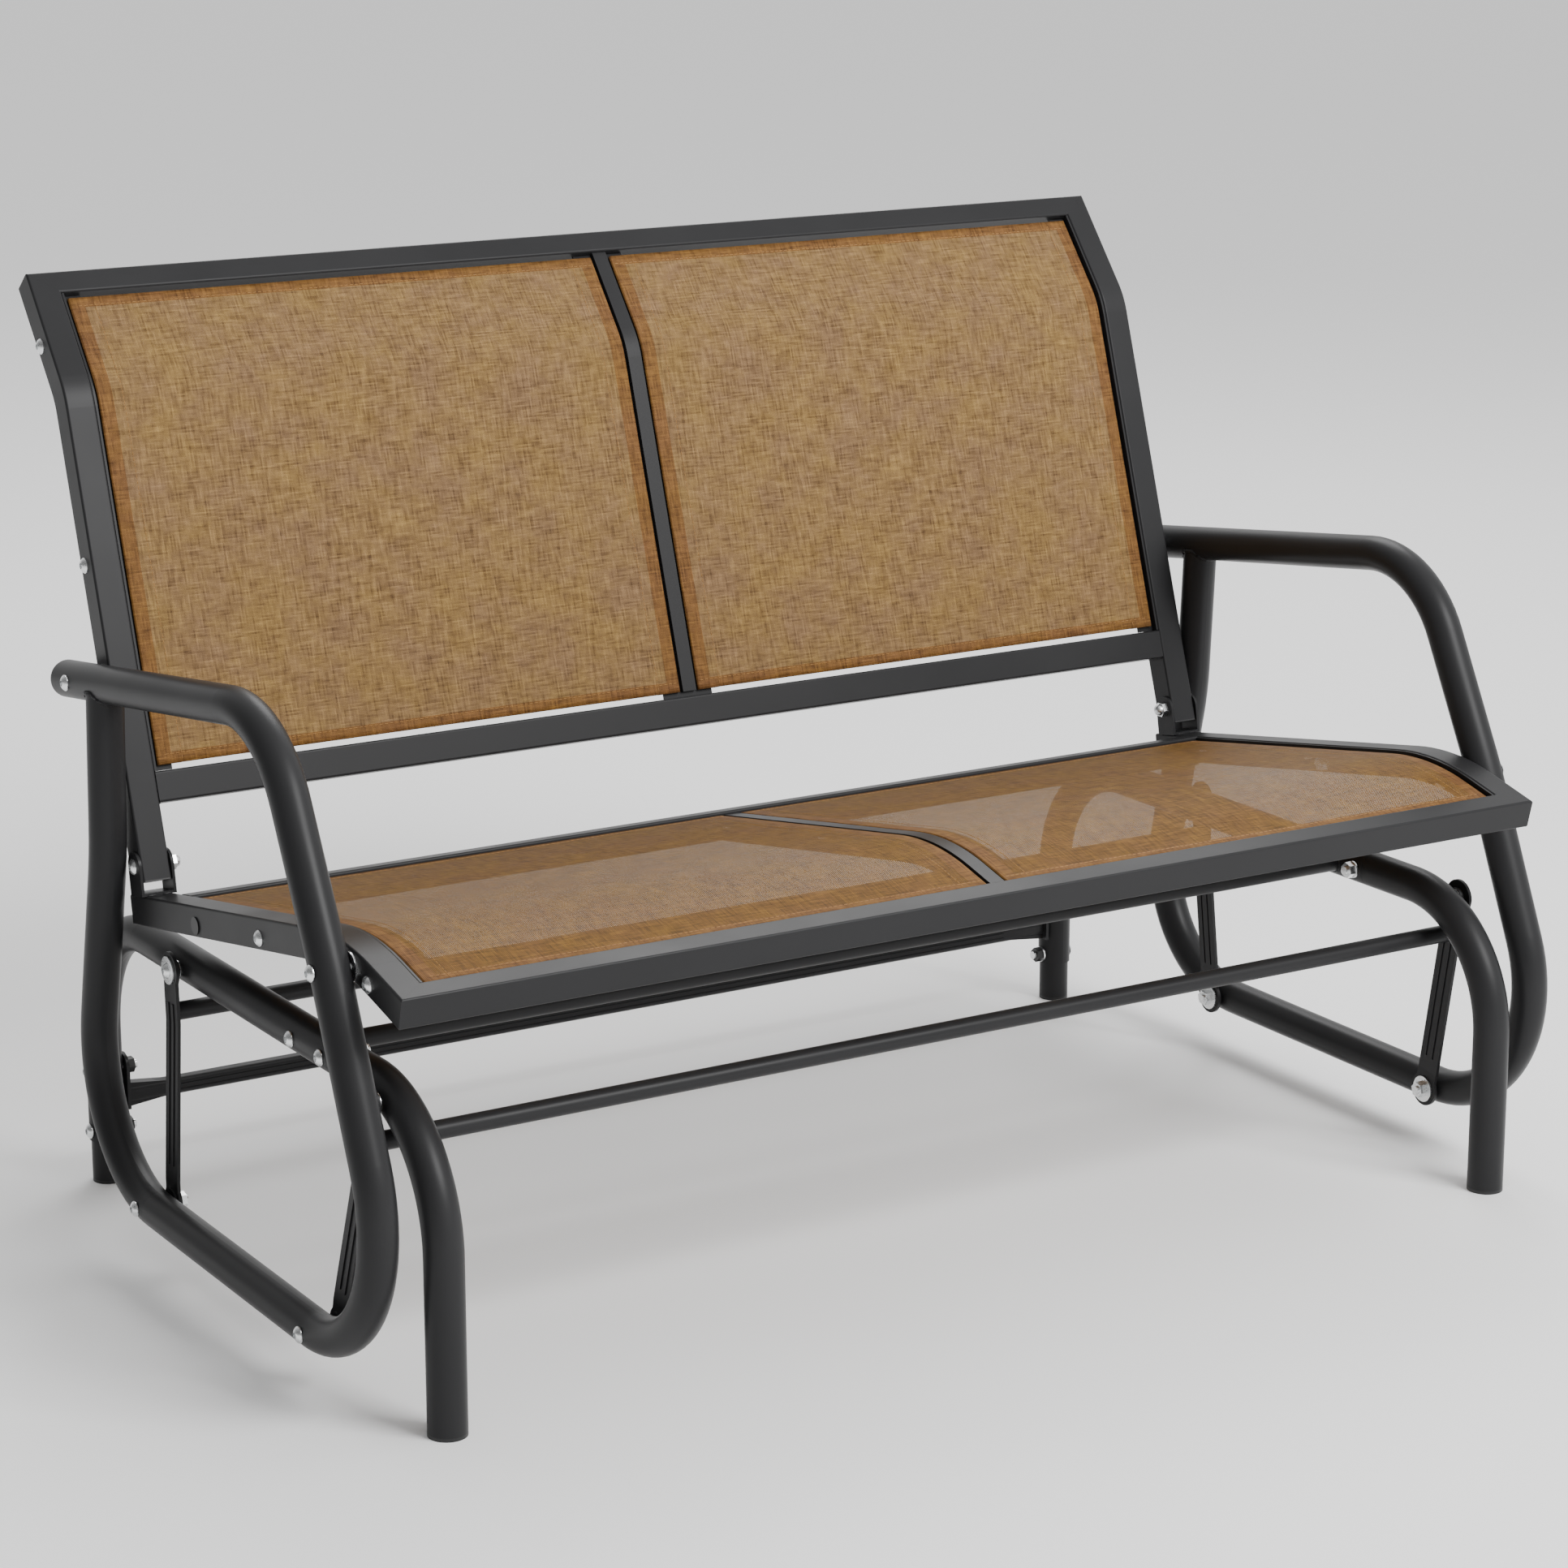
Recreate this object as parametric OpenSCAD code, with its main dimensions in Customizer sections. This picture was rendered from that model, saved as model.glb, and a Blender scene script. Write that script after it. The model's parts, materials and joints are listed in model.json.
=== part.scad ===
// Patio glider: a two-seat sling bench whose seat swings on four links under a tubular base.
// X runs across the glider, the front faces -Y, +Z is up and the floor is at z = 0.
// Left and right are as seen from the front. Millimetres.

/* [Tube and rail stock] */
// Outer diameter of the round frame tubes
tube_d = 32.5; // [30:0.5:36]
// Wall of the round frame tubes
tube_wall = 1.5; // [1.2:0.1:2]
// Width of the square rails, across the glider
rail_w = 26.5; // [24:0.5:29]
// Depth of the square rails, front face to back face
rail_d = 26.5; // [25:0.5:29]
// Wall of the square rails
rail_wall = 1.5; // [1.2:0.1:2]
// Outer corner radius of the square rails
rail_round = 2; // [1.8:0.1:2.5]

/* [Base] */
// Distance between the front and rear leg centre lines
base_len = 680; // [660:5:740]
// Bend radius of the base tubes, on the centre line
base_bend_r = 115; // [100:1:125]
// How far the split in the top run sits in front of the middle
split_front = 170; // [155:1:180]
// Distance from the split to the first joint bolt
joint_edge = 11.6; // [10:0.1:14]
// Distance between the two joint bolts of one side
joint_pitch = 56; // [50:1:62]
// Length of the spigot inside the rear tube
spigot_len = 85; // [80:1:95]
// Height where the rear leg ends and its foot tube shows
foot_split_h = 40; // [30:1:50]
// Height of the foot bolt above that split
foot_bolt_rise = 9; // [8:0.5:14]
// Length of the foot tube inside the rear leg
foot_spigot_len = 60; // [50:1:80]
// Thickness of the foot plug's flange under a leg
plug_flange = 3; // [2:0.5:5]
// Diameter of the middle cross bar and of the tie bars
bar_d = 16; // [14:0.5:18]
// Height of the rear cross bar's centre line
rear_bar_h = 79; // [75:1:85]
// Height of the bolt in the rear cross bar's end plate
rear_bolt_h = 106; // [102:1:115]

/* [Swing] */
// Length of each link, pivot to pivot
link_len = 205; // [195:1:215]
// Distance from the rear leg to the rear upper pivot
rear_inset = 216; // [205:1:225]
// Distance from the front leg to the front upper pivot
front_inset = 77; // [72:1:85]
// How far the rear links' feet lean forward, degrees
rear_lean = 2.8; // [2:0.1:4]
// How far the front links' feet lean rearward, degrees
front_lean = 13.4; // [12:0.1:15]
// Thickness of a link
link_t = 3; // [2.5:0.1:3.5]
// Width of a link between its eyes
link_w = 25; // [22:0.5:28]
// Radius of a link's eyes
eye_r = 16; // [15:0.5:17]
// Distance of the tie bars below the upper pivots, along the link
tie_drop = 37; // [35:0.5:40]
// Space between the base tubes and the arm tubes, where the links hang
link_room = 18.75; // [18:0.25:21]
// Play of the open pivot, the front lower one, which takes up the linkage's error
open_play = 2.8; // [2.7:0.1:3.2]

/* [Seat] */
// Width across the outer faces of the seat frame
seat_w = 1120; // [1060:5:1240]
// Length of the seat's rising top, from the rear end to the knee bend
seat_rise_len = 425; // [400:1:450]
// Length of the seat's falling front, from the knee bend to the front face
seat_fall_len = 109; // [100:1:120]
// Slope of the rising top, degrees
seat_pitch = 9.75; // [8:0.25:11]
// Slope of the falling front, degrees
seat_drop = 13.9; // [12:0.1:16]
// Bend radius of the knee, on the top face
knee_r = 250; // [200:5:280]
// Height of the seat's rear end above the base's top run
seat_lift = 54.9; // [52:0.1:65]
// Distance of the seat's rear end behind the rear upper pivot
seat_back_set = 56; // [50:1:62]
// Width of the front rail and of the top rail on their faces
cross_w = 21.5; // [20:0.5:24]
// Distance from the seat's rear end to the rear rail
rear_rail_set = 48.7; // [46:0.1:55]

/* [Back] */
// Length of the back's straight lower part
back_low_len = 425; // [400:1:450]
// Length of the back's top part above the bend
back_top_len = 120; // [110:1:130]
// Lean of the lower part from the vertical, degrees
back_lean = 18.15; // [16:0.05:20]
// Lean of the top part from the vertical, degrees
head_lean = 39.4; // [36:0.1:42]
// Bend radius of the back, on the front face
back_bend_r = 80; // [70:1:100]
// Distance of the back's lower end in front of the seat's rear end, along the seat
back_foot_s = 32.3; // [31:0.1:34]
// Height of the back's lower end above the seat rails
back_foot_h = 13.6; // [12.5:0.1:16]
// Distance from the back's lower end to the lower rail
low_rail_set = 64.7; // [60:0.1:70]
// Width of the lower rail on its face
low_rail_w = 27; // [25:0.5:30]

/* [Arms] */
// Distance of the armrest's rear end behind the seat's rear end
arm_tail = 73.8; // [70:0.1:78]
// Height of the armrest's rear end above the seat's rear end
arm_rise = 178.6; // [170:0.1:190]
// Length of the armrest to the corner at its front
arm_len = 418.7; // [405:0.1:430]
// Rise of the armrest towards the front, degrees
arm_slope = 7.67; // [6:0.01:9]
// Bend radius at the front of the armrest
arm_front_r = 107; // [100:1:115]
// Reach of the loop's front corner in front of the front lower pivot
loop_front = 179.7; // [172:0.1:186]
// Reach of the loop's rear corner behind the rear lower pivot
loop_rear = 136.3; // [130:0.1:142]
// Bend radius of the loop's two lower corners
loop_r = 120; // [110:1:125]
// Gap between the arm tubes and the seat frame, filled by spacer washers
arm_gap = 2; // [1.5:0.1:3]

/* [Slings] */
// How far the fabric lies behind the front faces of the rails
sling_set = 3; // [2.5:0.1:3.5]
// Thickness of the fabric slab
fabric_t = 0.8; // [0.6:0.1:1]
// Width of the visible rib of the centre bars
rib_w = 14; // [12:0.5:16]
// Gap between the side rails and the fabric
edge_gap = 5; // [4:0.1:6]
// Gap between the centre rib and the fabric
rib_gap = 2.5; // [2:0.1:3]
// Gap between the cross rails and the fabric's free edges
hem_gap = 5; // [4:0.1:6]
// Width of the flat strip inside each side hem
strip_w = 18; // [16:0.5:20]
// Thickness of that strip
strip_t = 2.5; // [2:0.1:3]

/* [Fasteners] */
// Thread diameter of the bolts
bolt_d = 8; // [7.8:0.1:8.2]
// Diameter of the button heads
head_d = 13.8; // [13:0.1:14.2]
// Height of the button heads
head_h = 4.4; // [4:0.1:5]
// Height of the upright rim under a button head's dome
head_rim = 0.8; // [0.5:0.1:1]
// Nut size across flats
nut_af = 13; // [12.5:0.1:13]
// Nut thickness
nut_t = 6.5; // [6:0.1:7]
// Distance of the frame bolts behind the front or top faces of the rails
bolt_depth = 16.6; // [16.5:0.1:17]
// Diameter of the large washers at the pivots
big_washer_d = 24.5; // [23:0.5:26]
// Thickness of the washers
washer_t = 1.6; // [1.2:0.1:1.8]

/* [Hidden] */

$fn = 48;
steel = "#3c3d3f";
zinc = "#c9cbcd";
plastic = "#17181a";
nylon = "#dcd8cc";
cloth = "#a98a62";

// Clearances
slip = 0.1;       // between tubes and plugs that slide into each other
run_fit = 0.05;   // radial, between a pivot bush and its eye
bolt_fit = 0.25;  // radial, between a bolt and its hole
thread_fit = 0.05; // radial, between a bolt and its nut
face_gap = 0.2;   // between faces that slide past each other
weld_gap = 0.05;  // between welded pieces
cut = 1;          // extra length of every cut

tube_r = tube_d / 2;
tube_in = tube_r - tube_wall;
bar_r = bar_d / 2;
bar_wall = 1.5;
bolt_r = bolt_d / 2;

// Stations across the glider, from the middle outwards
rail_out = seat_w / 2;
rail_in = rail_out - rail_w;
arm_in = rail_out + arm_gap;
arm_x = arm_in + tube_r;
base_x = arm_in - link_room - tube_r;
base_out = base_x + tube_r;
base_in = base_x - tube_r;

// Side view stations: y from the middle of the base, and z from the floor
lower_z = plug_flange + 52.5;
base_h = lower_z + link_len * cos(rear_lean);
leg_y = base_len / 2;
rear_up = [leg_y - rear_inset, base_h];
front_from_bend = base_bend_r - front_inset;
front_up = [front_inset - leg_y, base_h - base_bend_r + sqrt(pow(base_bend_r, 2) - pow(front_from_bend, 2))];
rear_low = rear_up + link_len * [-sin(rear_lean), -cos(rear_lean)];
front_low = front_up + link_len * [sin(front_lean), -cos(front_lean)];
rear_tie = rear_up + tie_drop * [-sin(rear_lean), -cos(rear_lean)];
front_tie = front_up + tie_drop * [sin(front_lean), -cos(front_lean)];

// Points on the seat rails: s runs forward along the top face, d is the depth under it
seat_end = rear_up + [seat_back_set, seat_lift];
rise_dir = [-cos(seat_pitch), sin(seat_pitch)];
fall_dir = [-cos(seat_drop), -sin(seat_drop)];
knee = seat_end + seat_rise_len * rise_dir;
function into(dir) = [-dir[1], dir[0]];
function seat_at(s, d) = s <= seat_rise_len
    ? seat_end + s * rise_dir + d * into(rise_dir)
    : knee + (s - seat_rise_len) * fall_dir + d * into(fall_dir);
function seat_turn(s) = s <= seat_rise_len ? -seat_pitch : seat_drop;
seat_len = seat_rise_len + seat_fall_len;
rear_rail_w = 20.3;
seat_cloth_from = rear_rail_set + rear_rail_w + 1;
seat_cloth_to = seat_len - cross_w - 1;

// Points on the back rails: s runs up along the front face, d is the depth behind it
back_end = seat_at(back_foot_s, -back_foot_h);
low_dir = [sin(back_lean), cos(back_lean)];
head_dir = [sin(head_lean), cos(head_lean)];
back_knee = back_end + back_low_len * low_dir;
function behind(dir) = [dir[1], -dir[0]];
function back_at(s, d) = s <= back_low_len
    ? back_end + s * low_dir + d * behind(low_dir)
    : back_knee + (s - back_low_len) * head_dir + d * behind(head_dir);
function back_turn(s) = s <= back_low_len ? -90 - back_lean : -90 - head_lean;
back_len = back_low_len + back_top_len;
back_cloth_from = low_rail_set + low_rail_w + hem_gap;
back_cloth_to = back_len - cross_w - hem_gap;

// Corners of an arm loop, from the rear end of the armrest round to the top of the riser
function crossing(a, u, b, v) = a + u * ((b - a)[0] * v[1] - (b - a)[1] * v[0]) / (u[0] * v[1] - u[1] * v[0]);
arm_dir = [-cos(arm_slope), sin(arm_slope)];
arm_end = seat_end + [arm_tail, arm_rise];
seat_bolt_s = seat_rise_len + 24;
arm_seat_bolt = seat_at(seat_bolt_s, bolt_depth);
arm_back_bolt = crossing(arm_end, arm_dir, back_at(0, bolt_depth), low_dir);
low_dir_arm = (front_low - rear_low) / norm(front_low - rear_low);
riser_bend = seat_end + [1.9, 38.9];
riser_top = crossing(arm_end, arm_dir, riser_bend, [-0.055, 1]);
arm_path = [arm_end, arm_end + arm_len * arm_dir, arm_seat_bolt, front_low + loop_front * low_dir_arm,
            rear_low - loop_rear * low_dir_arm, riser_bend, riser_top];
arm_bends = [0, arm_front_r, 600, loop_r, loop_r, 300, 0];

// Bracket that carries the lower end of the back on the seat rail
ear_t = 2.5;
ear_r = 12.5;
ear_s = 20.6;
ear_h = 25.7;
ear_gap = 0.2;
bracket_bolt = seat_at(ear_s, -ear_h);
bracket_out = rail_out + ear_gap + ear_t;
bracket_in = rail_in - ear_gap - ear_t;

// Sling rails: an upright leg beside the side rail and a web that the strips lie on
leg_t = 2;
leg_gap = 0.2;
leg_x = rail_in - leg_gap - leg_t;
leg_top = 1;
leg_foot = 23;
web_t = 2;
web_w = 17;
strip_top = sling_set + fabric_t + 0.1;
web_top = strip_top + strip_t + fabric_t + 0.4;
cloth_out = rail_in - edge_gap;
cloth_in = rib_w / 2 + rib_gap;
flange_w = 51;

// Link stack at the pivots, on the side towards the middle of the glider
insert_flange = 1;
up_in = base_out + insert_flange + 3.75;
low_out = arm_in - arm_gap;
bush_r = 6;
bush_flange_r = 9;

// Centring on the whole object's depth
rear_edge = back_at(back_len, rail_d)[0] - rail_round * (sin(head_lean) + cos(head_lean) - 1);
front_edge = -leg_y - tube_r;
centre_shift = -(rear_edge + front_edge) / 2;

// Placing helpers
module placed() { translate([0, centre_shift, 0]) children(); }
module side_view() { rotate([90, 0, 90]) children(); }
module right_only() { placed() children(); }
module left_only() { placed() mirror([1, 0, 0]) children(); }
module both() {
    placed() children();
    placed() mirror([1, 0, 0]) children();
}
// Puts children at station x, side-view point p, with local z outwards and local x turned by t
module at_point(x, p, t = 0) { translate([x, p[0], p[1]]) side_view() rotate([0, 0, t]) children(); }

function unit(v) = v / norm(v);
function heading(v) = atan2(v[1], v[0]);
function turn_of(a, b, c) = let (u = unit(b - a), v = unit(c - b))
    atan2(u[0] * v[1] - u[1] * v[0], u[0] * v[0] + u[1] * v[1]);
function tangent(a, b, c, r) = r * tan(abs(turn_of(a, b, c)) / 2);

// A bar along side-view points with round bends. The child profile has x to the left of travel.
// The straights reach a little way into the bends, whose section is drawn a hair thicker
bend_swell = 0.02;
bend_lap = 0.5;
$swell = 0;
module bent_bar(pts, radii) {
    last = len(pts) - 1;
    trims = [for (i = [0 : last]) i == 0 || i == last ? 0 : tangent(pts[i - 1], pts[i], pts[i + 1], radii[i])];
    for (i = [0 : last - 1]) {
        dir = unit(pts[i + 1] - pts[i]);
        lap = [i == 0 ? 0 : bend_lap, i == last - 1 ? 0 : bend_lap];
        from = pts[i] + (trims[i] - lap[0]) * dir;
        long = norm(pts[i + 1] - pts[i]) - trims[i] - trims[i + 1] + lap[0] + lap[1];
        translate([from[0], from[1], 0])
            rotate([0, 0, heading(dir)])
                rotate([90, 0, 90])
                    linear_extrude(height = long) children();
    }
    for (i = [1 : last - 1]) {
        dir = unit(pts[i] - pts[i - 1]);
        swing = turn_of(pts[i - 1], pts[i], pts[i + 1]);
        from = pts[i] - trims[i] * dir;
        centre = from + (swing > 0 ? 1 : -1) * radii[i] * into(dir);
        translate([centre[0], centre[1], 0])
            if (swing > 0)
                rotate([0, 0, heading(dir) - 90])
                    rotate_extrude(angle = swing) translate([radii[i], 0]) mirror([1, 0])
                        let ($swell = bend_swell) children();
            else
                rotate([0, 0, heading(dir) + 90 + swing])
                    rotate_extrude(angle = -swing) translate([radii[i], 0])
                        let ($swell = bend_swell) children();
    }
}

module ring(r, inner) {
    difference() {
        circle(r + $swell);
        circle(inner - $swell);
    }
}
module slab(x, y, w, h) {
    translate([x - $swell, y - $swell]) square([w + 2 * $swell, h + 2 * $swell]);
}
module rounded(w, h, r) {
    translate([r, 0]) square([w - 2 * r, h]);
    translate([0, r]) square([w, h - 2 * r]);
    for (x = [r, w - r], y = [r, h - r])
        translate([x, y]) circle(r, $fn = 16);
}
// Square tube section: x is the depth under the face, y the station across
module box_section(depth, from, width) {
    translate([0, from])
        difference() {
            translate([-$swell, -$swell]) rounded(depth + 2 * $swell, width + 2 * $swell, rail_round);
            translate([rail_wall + $swell, rail_wall + $swell])
                square([depth - 2 * rail_wall - 2 * $swell, width - 2 * rail_wall - 2 * $swell]);
        }
}
// Round cut along x
module cross_hole(x, p, r, long) { at_point(x - cut, p) cylinder(r = r, h = long + 2 * cut); }

// Fasteners, drawn along local z with the seat of the head at z = 0 and the shank below it
module button_bolt(long) {
    crown = head_h - head_rim;
    dome = (pow(head_d / 2, 2) + pow(crown, 2)) / (2 * crown);
    difference() {
        union() {
            intersection() {
                cylinder(d = head_d, h = head_h, $fn = 32);
                translate([0, 0, head_h - dome]) sphere(dome, $fn = 48);
            }
            translate([0, 0, -long]) cylinder(r = bolt_r, h = long + 0.5, $fn = 24);
        }
        translate([0, 0, head_h - 2.6]) cylinder(d = 5.8, h = 4, $fn = 6);
    }
}
module hex_nut(thick) {
    difference() {
        cylinder(d = nut_af / cos(30), h = thick, $fn = 6);
        translate([0, 0, -cut]) cylinder(r = bolt_r + thread_fit, h = thick + 2 * cut, $fn = 24);
    }
}
module washer(d, thick) {
    difference() {
        cylinder(d = d, h = thick, $fn = 36);
        translate([0, 0, -cut]) cylinder(r = bolt_r + bolt_fit, h = thick + 2 * cut, $fn = 24);
    }
}
small_washer_d = 16;

// Base tubes
seam = 0.3;
base_rear_path = [[leg_y, foot_split_h], [leg_y, base_h], [-split_front + seam, base_h]];
base_front_path = [[-split_front, base_h], [-leg_y, base_h], [-leg_y, plug_flange]];
joint_bolts = [for (i = [0 : 1]) [-split_front + joint_edge + i * joint_pitch, base_h]];
foot_bolt = [leg_y, foot_split_h + foot_bolt_rise];
rear_bar_bolt = [leg_y, rear_bolt_h];

module base_rear_tube() {
    color(steel)
        difference() {
            translate([base_x, 0, 0]) side_view() bent_bar(base_rear_path, [0, base_bend_r, 0]) ring(tube_r, tube_in);
            for (p = concat(joint_bolts, [foot_bolt, rear_bar_bolt]))
                cross_hole(base_in, p, bolt_r + bolt_fit, tube_d);
            cross_hole(base_x, rear_up, insert_r + slip, tube_r);
        }
}
module base_front_tube() {
    spigot_r = tube_in - slip;
    weld_len = 30;
    color(steel)
        difference() {
            union() {
                translate([base_x, 0, 0]) side_view()
                    bent_bar(base_front_path, [0, base_bend_r, 0]) ring(tube_r, tube_in);
                translate([base_x, -split_front - weld_len, base_h]) rotate([-90, 0, 0])
                    linear_extrude(height = weld_len) ring(tube_in + slip, tube_in - tube_wall);
                translate([base_x, -split_front - 1, base_h]) rotate([-90, 0, 0])
                    linear_extrude(height = spigot_len + 1) ring(spigot_r, tube_in - tube_wall);
            }
            for (p = joint_bolts)
                cross_hole(base_in, p, bolt_r + bolt_fit, tube_d);
            cross_hole(base_x, front_up, insert_r + slip, tube_r);
        }
}
module rear_foot_tube() {
    foot_r = tube_in - slip;
    color(steel)
        difference() {
            translate([base_x, leg_y, plug_flange])
                linear_extrude(height = foot_split_h - plug_flange + foot_spigot_len)
                    ring(foot_r, foot_r - tube_wall);
            for (p = [foot_bolt])
                cross_hole(base_in, p, bolt_r + bolt_fit, tube_d);
        }
}
module foot_plug(y, outer, inner) {
    translate([base_x, y, 0]) {
        cylinder(r = outer, h = plug_flange);
        cylinder(r = inner - slip, h = plug_flange + 14);
    }
}
module foot_plugs() {
    foot_r = tube_in - slip;
    color(plastic) both() {
        foot_plug(leg_y, foot_r, foot_r - tube_wall);
        foot_plug(-leg_y, tube_r, tube_in);
    }
}
// Tube between two side frames, its ends shaped to the tube that they meet
module coped_bar(p, reach, r, at_x, at_r) {
    difference() {
        at_point(-reach, p) linear_extrude(height = 2 * reach) ring(r, r - bar_wall);
        for (s = [-1, 1])
            translate([s * at_x, p[0], p[1]]) rotate([90, 0, 0])
                cylinder(r = at_r + weld_gap, h = 4 * r, center = true);
    }
}
module base_middle_bar() {
    middle = (joint_bolts[0] + joint_bolts[1]) / 2;
    color(steel) placed() coped_bar(middle, base_x, bar_r, base_x, tube_r);
}
// Rear cross bar: a grooved oval section that grows taller at its ends, and bolted end plates
rear_bar_tall = 17;
rear_bar_thick = 15;
rear_bar_flare = 23;
flare_len = 50;
flare_t = 11;
flare_from = 12;
end_plate_t = 3;
end_plate_r = 13;
rear_bar_round = 6.5;
module oval(tall, thick) { translate([-thick / 2, -tall / 2]) rounded(thick, tall, rear_bar_round); }
module base_rear_bar() {
    plate_x = base_in - weld_gap - end_plate_t;
    color(steel) placed() {
        difference() {
            at_point(-plate_x - 0.5, [leg_y, rear_bar_h])
                linear_extrude(height = 2 * plate_x + 1) oval(rear_bar_tall, rear_bar_thick);
            for (h = [-2.5, 2.5])
                at_point(-plate_x + flare_len, [leg_y - rear_bar_thick / 2, rear_bar_h + h])
                    linear_extrude(height = 2 * (plate_x - flare_len))
                        square([1.6, 0.9], center = true);
        }
        for (s = [0, 1])
            mirror([s, 0, 0]) {
                translate([0, leg_y + flare_t / 2, rear_bar_h]) rotate([90, 0, 0])
                    linear_extrude(height = flare_t)
                        polygon([[plate_x - flare_len, -flare_from / 2], [plate_x + 0.5, -rear_bar_flare / 2],
                                 [plate_x + 0.5, rear_bar_flare / 2], [plate_x - flare_len, flare_from / 2]]);
                difference() {
                    union() {
                        at_point(plate_x, rear_bar_bolt) cylinder(r = end_plate_r, h = end_plate_t);
                        at_point(plate_x, [leg_y - end_plate_r, rear_bar_h - rear_bar_flare / 2])
                            cube([2 * end_plate_r, rear_bolt_h - rear_bar_h + rear_bar_flare / 2, end_plate_t]);
                    }
                    cross_hole(plate_x, rear_bar_bolt, bolt_r + bolt_fit, end_plate_t);
                }
            }
    }
}
// Bolts of the base: through the joint, the foot and the rear bar's plate
tube_bolts = concat(joint_bolts, [foot_bolt]);
module base_bolts() {
    grip = tube_d + washer_t + nut_t + 3;
    color(zinc) both() {
        for (p = tube_bolts)
            at_point(base_out, p) button_bolt(grip);
        at_point(base_out, rear_bar_bolt) button_bolt(grip + end_plate_t + weld_gap);
    }
}
module base_washers() {
    color(zinc) both() {
        for (p = tube_bolts)
            at_point(base_in - washer_t, p) washer(small_washer_d, washer_t);
        at_point(base_in - weld_gap - end_plate_t - washer_t, rear_bar_bolt) washer(small_washer_d, washer_t);
    }
}
module base_nuts() {
    color(zinc) both() {
        for (p = tube_bolts)
            at_point(base_in - washer_t - nut_t, p, 17) hex_nut(nut_t);
        at_point(base_in - weld_gap - end_plate_t - washer_t - nut_t, rear_bar_bolt, 5) hex_nut(nut_t);
    }
}

// Upper pivots: insert in the tube, stepped bush, link eye, washer and bolt
insert_r = 5.5;
insert_len = 14;
module pivot_inserts() {
    color(zinc) both()
        for (p = [rear_up, front_up])
            difference() {
                union() {
                    at_point(base_out + insert_flange - insert_len, p) cylinder(r = insert_r, h = insert_len, $fn = 24);
                    at_point(base_out, p) cylinder(r = 8, h = insert_flange, $fn = 32);
                }
                cross_hole(base_out - insert_len, p, bolt_r + thread_fit, insert_len + insert_flange);
            }
}
// Stepped bush: a flange against the tube and a sleeve through the link's eye
module stepped_bush(flange_r, flange_t) {
    difference() {
        union() {
            cylinder(r = flange_r, h = flange_t, $fn = 36);
            cylinder(r = bush_r, h = flange_t + link_t + 2 * face_gap, $fn = 36);
        }
        translate([0, 0, -cut]) cylinder(r = bolt_r + thread_fit, h = 20, $fn = 24);
    }
}
upper_stack = base_out + insert_flange;
upper_flange = up_in - face_gap - upper_stack;
upper_washer_x = up_in + link_t + face_gap;
module upper_pivot_bushes() {
    color(nylon) both()
        for (p = [rear_up, front_up])
            at_point(upper_stack, p) stepped_bush(bush_flange_r, upper_flange);
}
module upper_pivot_washers() {
    color(zinc) both()
        for (p = [rear_up, front_up])
            at_point(upper_washer_x, p) washer(big_washer_d, washer_t);
}
module upper_pivot_bolts() {
    color(zinc) both()
        for (p = [rear_up, front_up])
            at_point(upper_washer_x + washer_t, p)
                button_bolt(upper_washer_x + washer_t - base_out + insert_len - insert_flange - 1);
}

// Links: flat bars with two pressed beads, set over a little between their eyes so that the
// lower eyes reach the arm loops
bead_w = 3;
bead_rise = 1.1;
bead_gap = 9;
bead_from = 29;
bead_to = link_len - 33;
step_from = tie_drop + bar_r + 1;
step_to = link_len - 19;
link_step = low_out - link_t - up_in;
function step_at(s) = s <= step_from ? 0 : s >= step_to ? link_step :
    link_step * (s - step_from) / (step_to - step_from);
// A band along the link, of a given width, between two heights over its inner face
module link_band(from, to, wide, low, high) {
    at = concat([from], [for (s = [step_from, step_to]) if (s > from && s < to) s], [to]);
    translate([0, wide / 2, 0]) rotate([90, 0, 0])
        linear_extrude(height = wide)
            polygon(concat([for (s = at) [s, step_at(s) + low]],
                           [for (i = [len(at) - 1 : -1 : 0]) [at[i], step_at(at[i]) + high]]));
}
// Local frame of a link: x runs from the upper pivot to the lower one, z outwards
module link_shape(low_bore) {
    difference() {
        union() {
            cylinder(r = eye_r, h = link_t);
            link_band(0, link_len, link_w, 0, link_t);
            translate([link_len, 0, link_step]) cylinder(r = eye_r, h = link_t);
            for (s = [-1, 1])
                translate([0, s * bead_gap / 2, 0])
                    link_band(bead_from, bead_to, bead_w, link_t - 0.5, link_t + bead_rise);
        }
        for (s = [-1, 1])
            translate([0, s * bead_gap / 2, 0]) link_band(bead_from + 1, bead_to - 1, 2, -cut, bead_rise);
        translate([0, 0, -cut]) cylinder(r = bush_r + run_fit, h = link_t + 2 * cut);
        translate([link_len, 0, link_step - cut]) cylinder(r = low_bore, h = link_t + 2 * cut);
    }
}
module link_at(up, low, low_bore) { at_point(up_in, up, heading(low - up)) link_shape(low_bore); }
module rear_link() { color(steel) link_at(rear_up, rear_low, bush_r + run_fit); }
module front_link() { color(steel) link_at(front_up, front_low, bush_r + run_fit + open_play); }
module tie_bar(p) {
    reach = up_in - weld_gap;
    color(steel) placed() at_point(-reach, p) linear_extrude(height = 2 * reach) ring(bar_r, bar_r - bar_wall);
}

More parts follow.
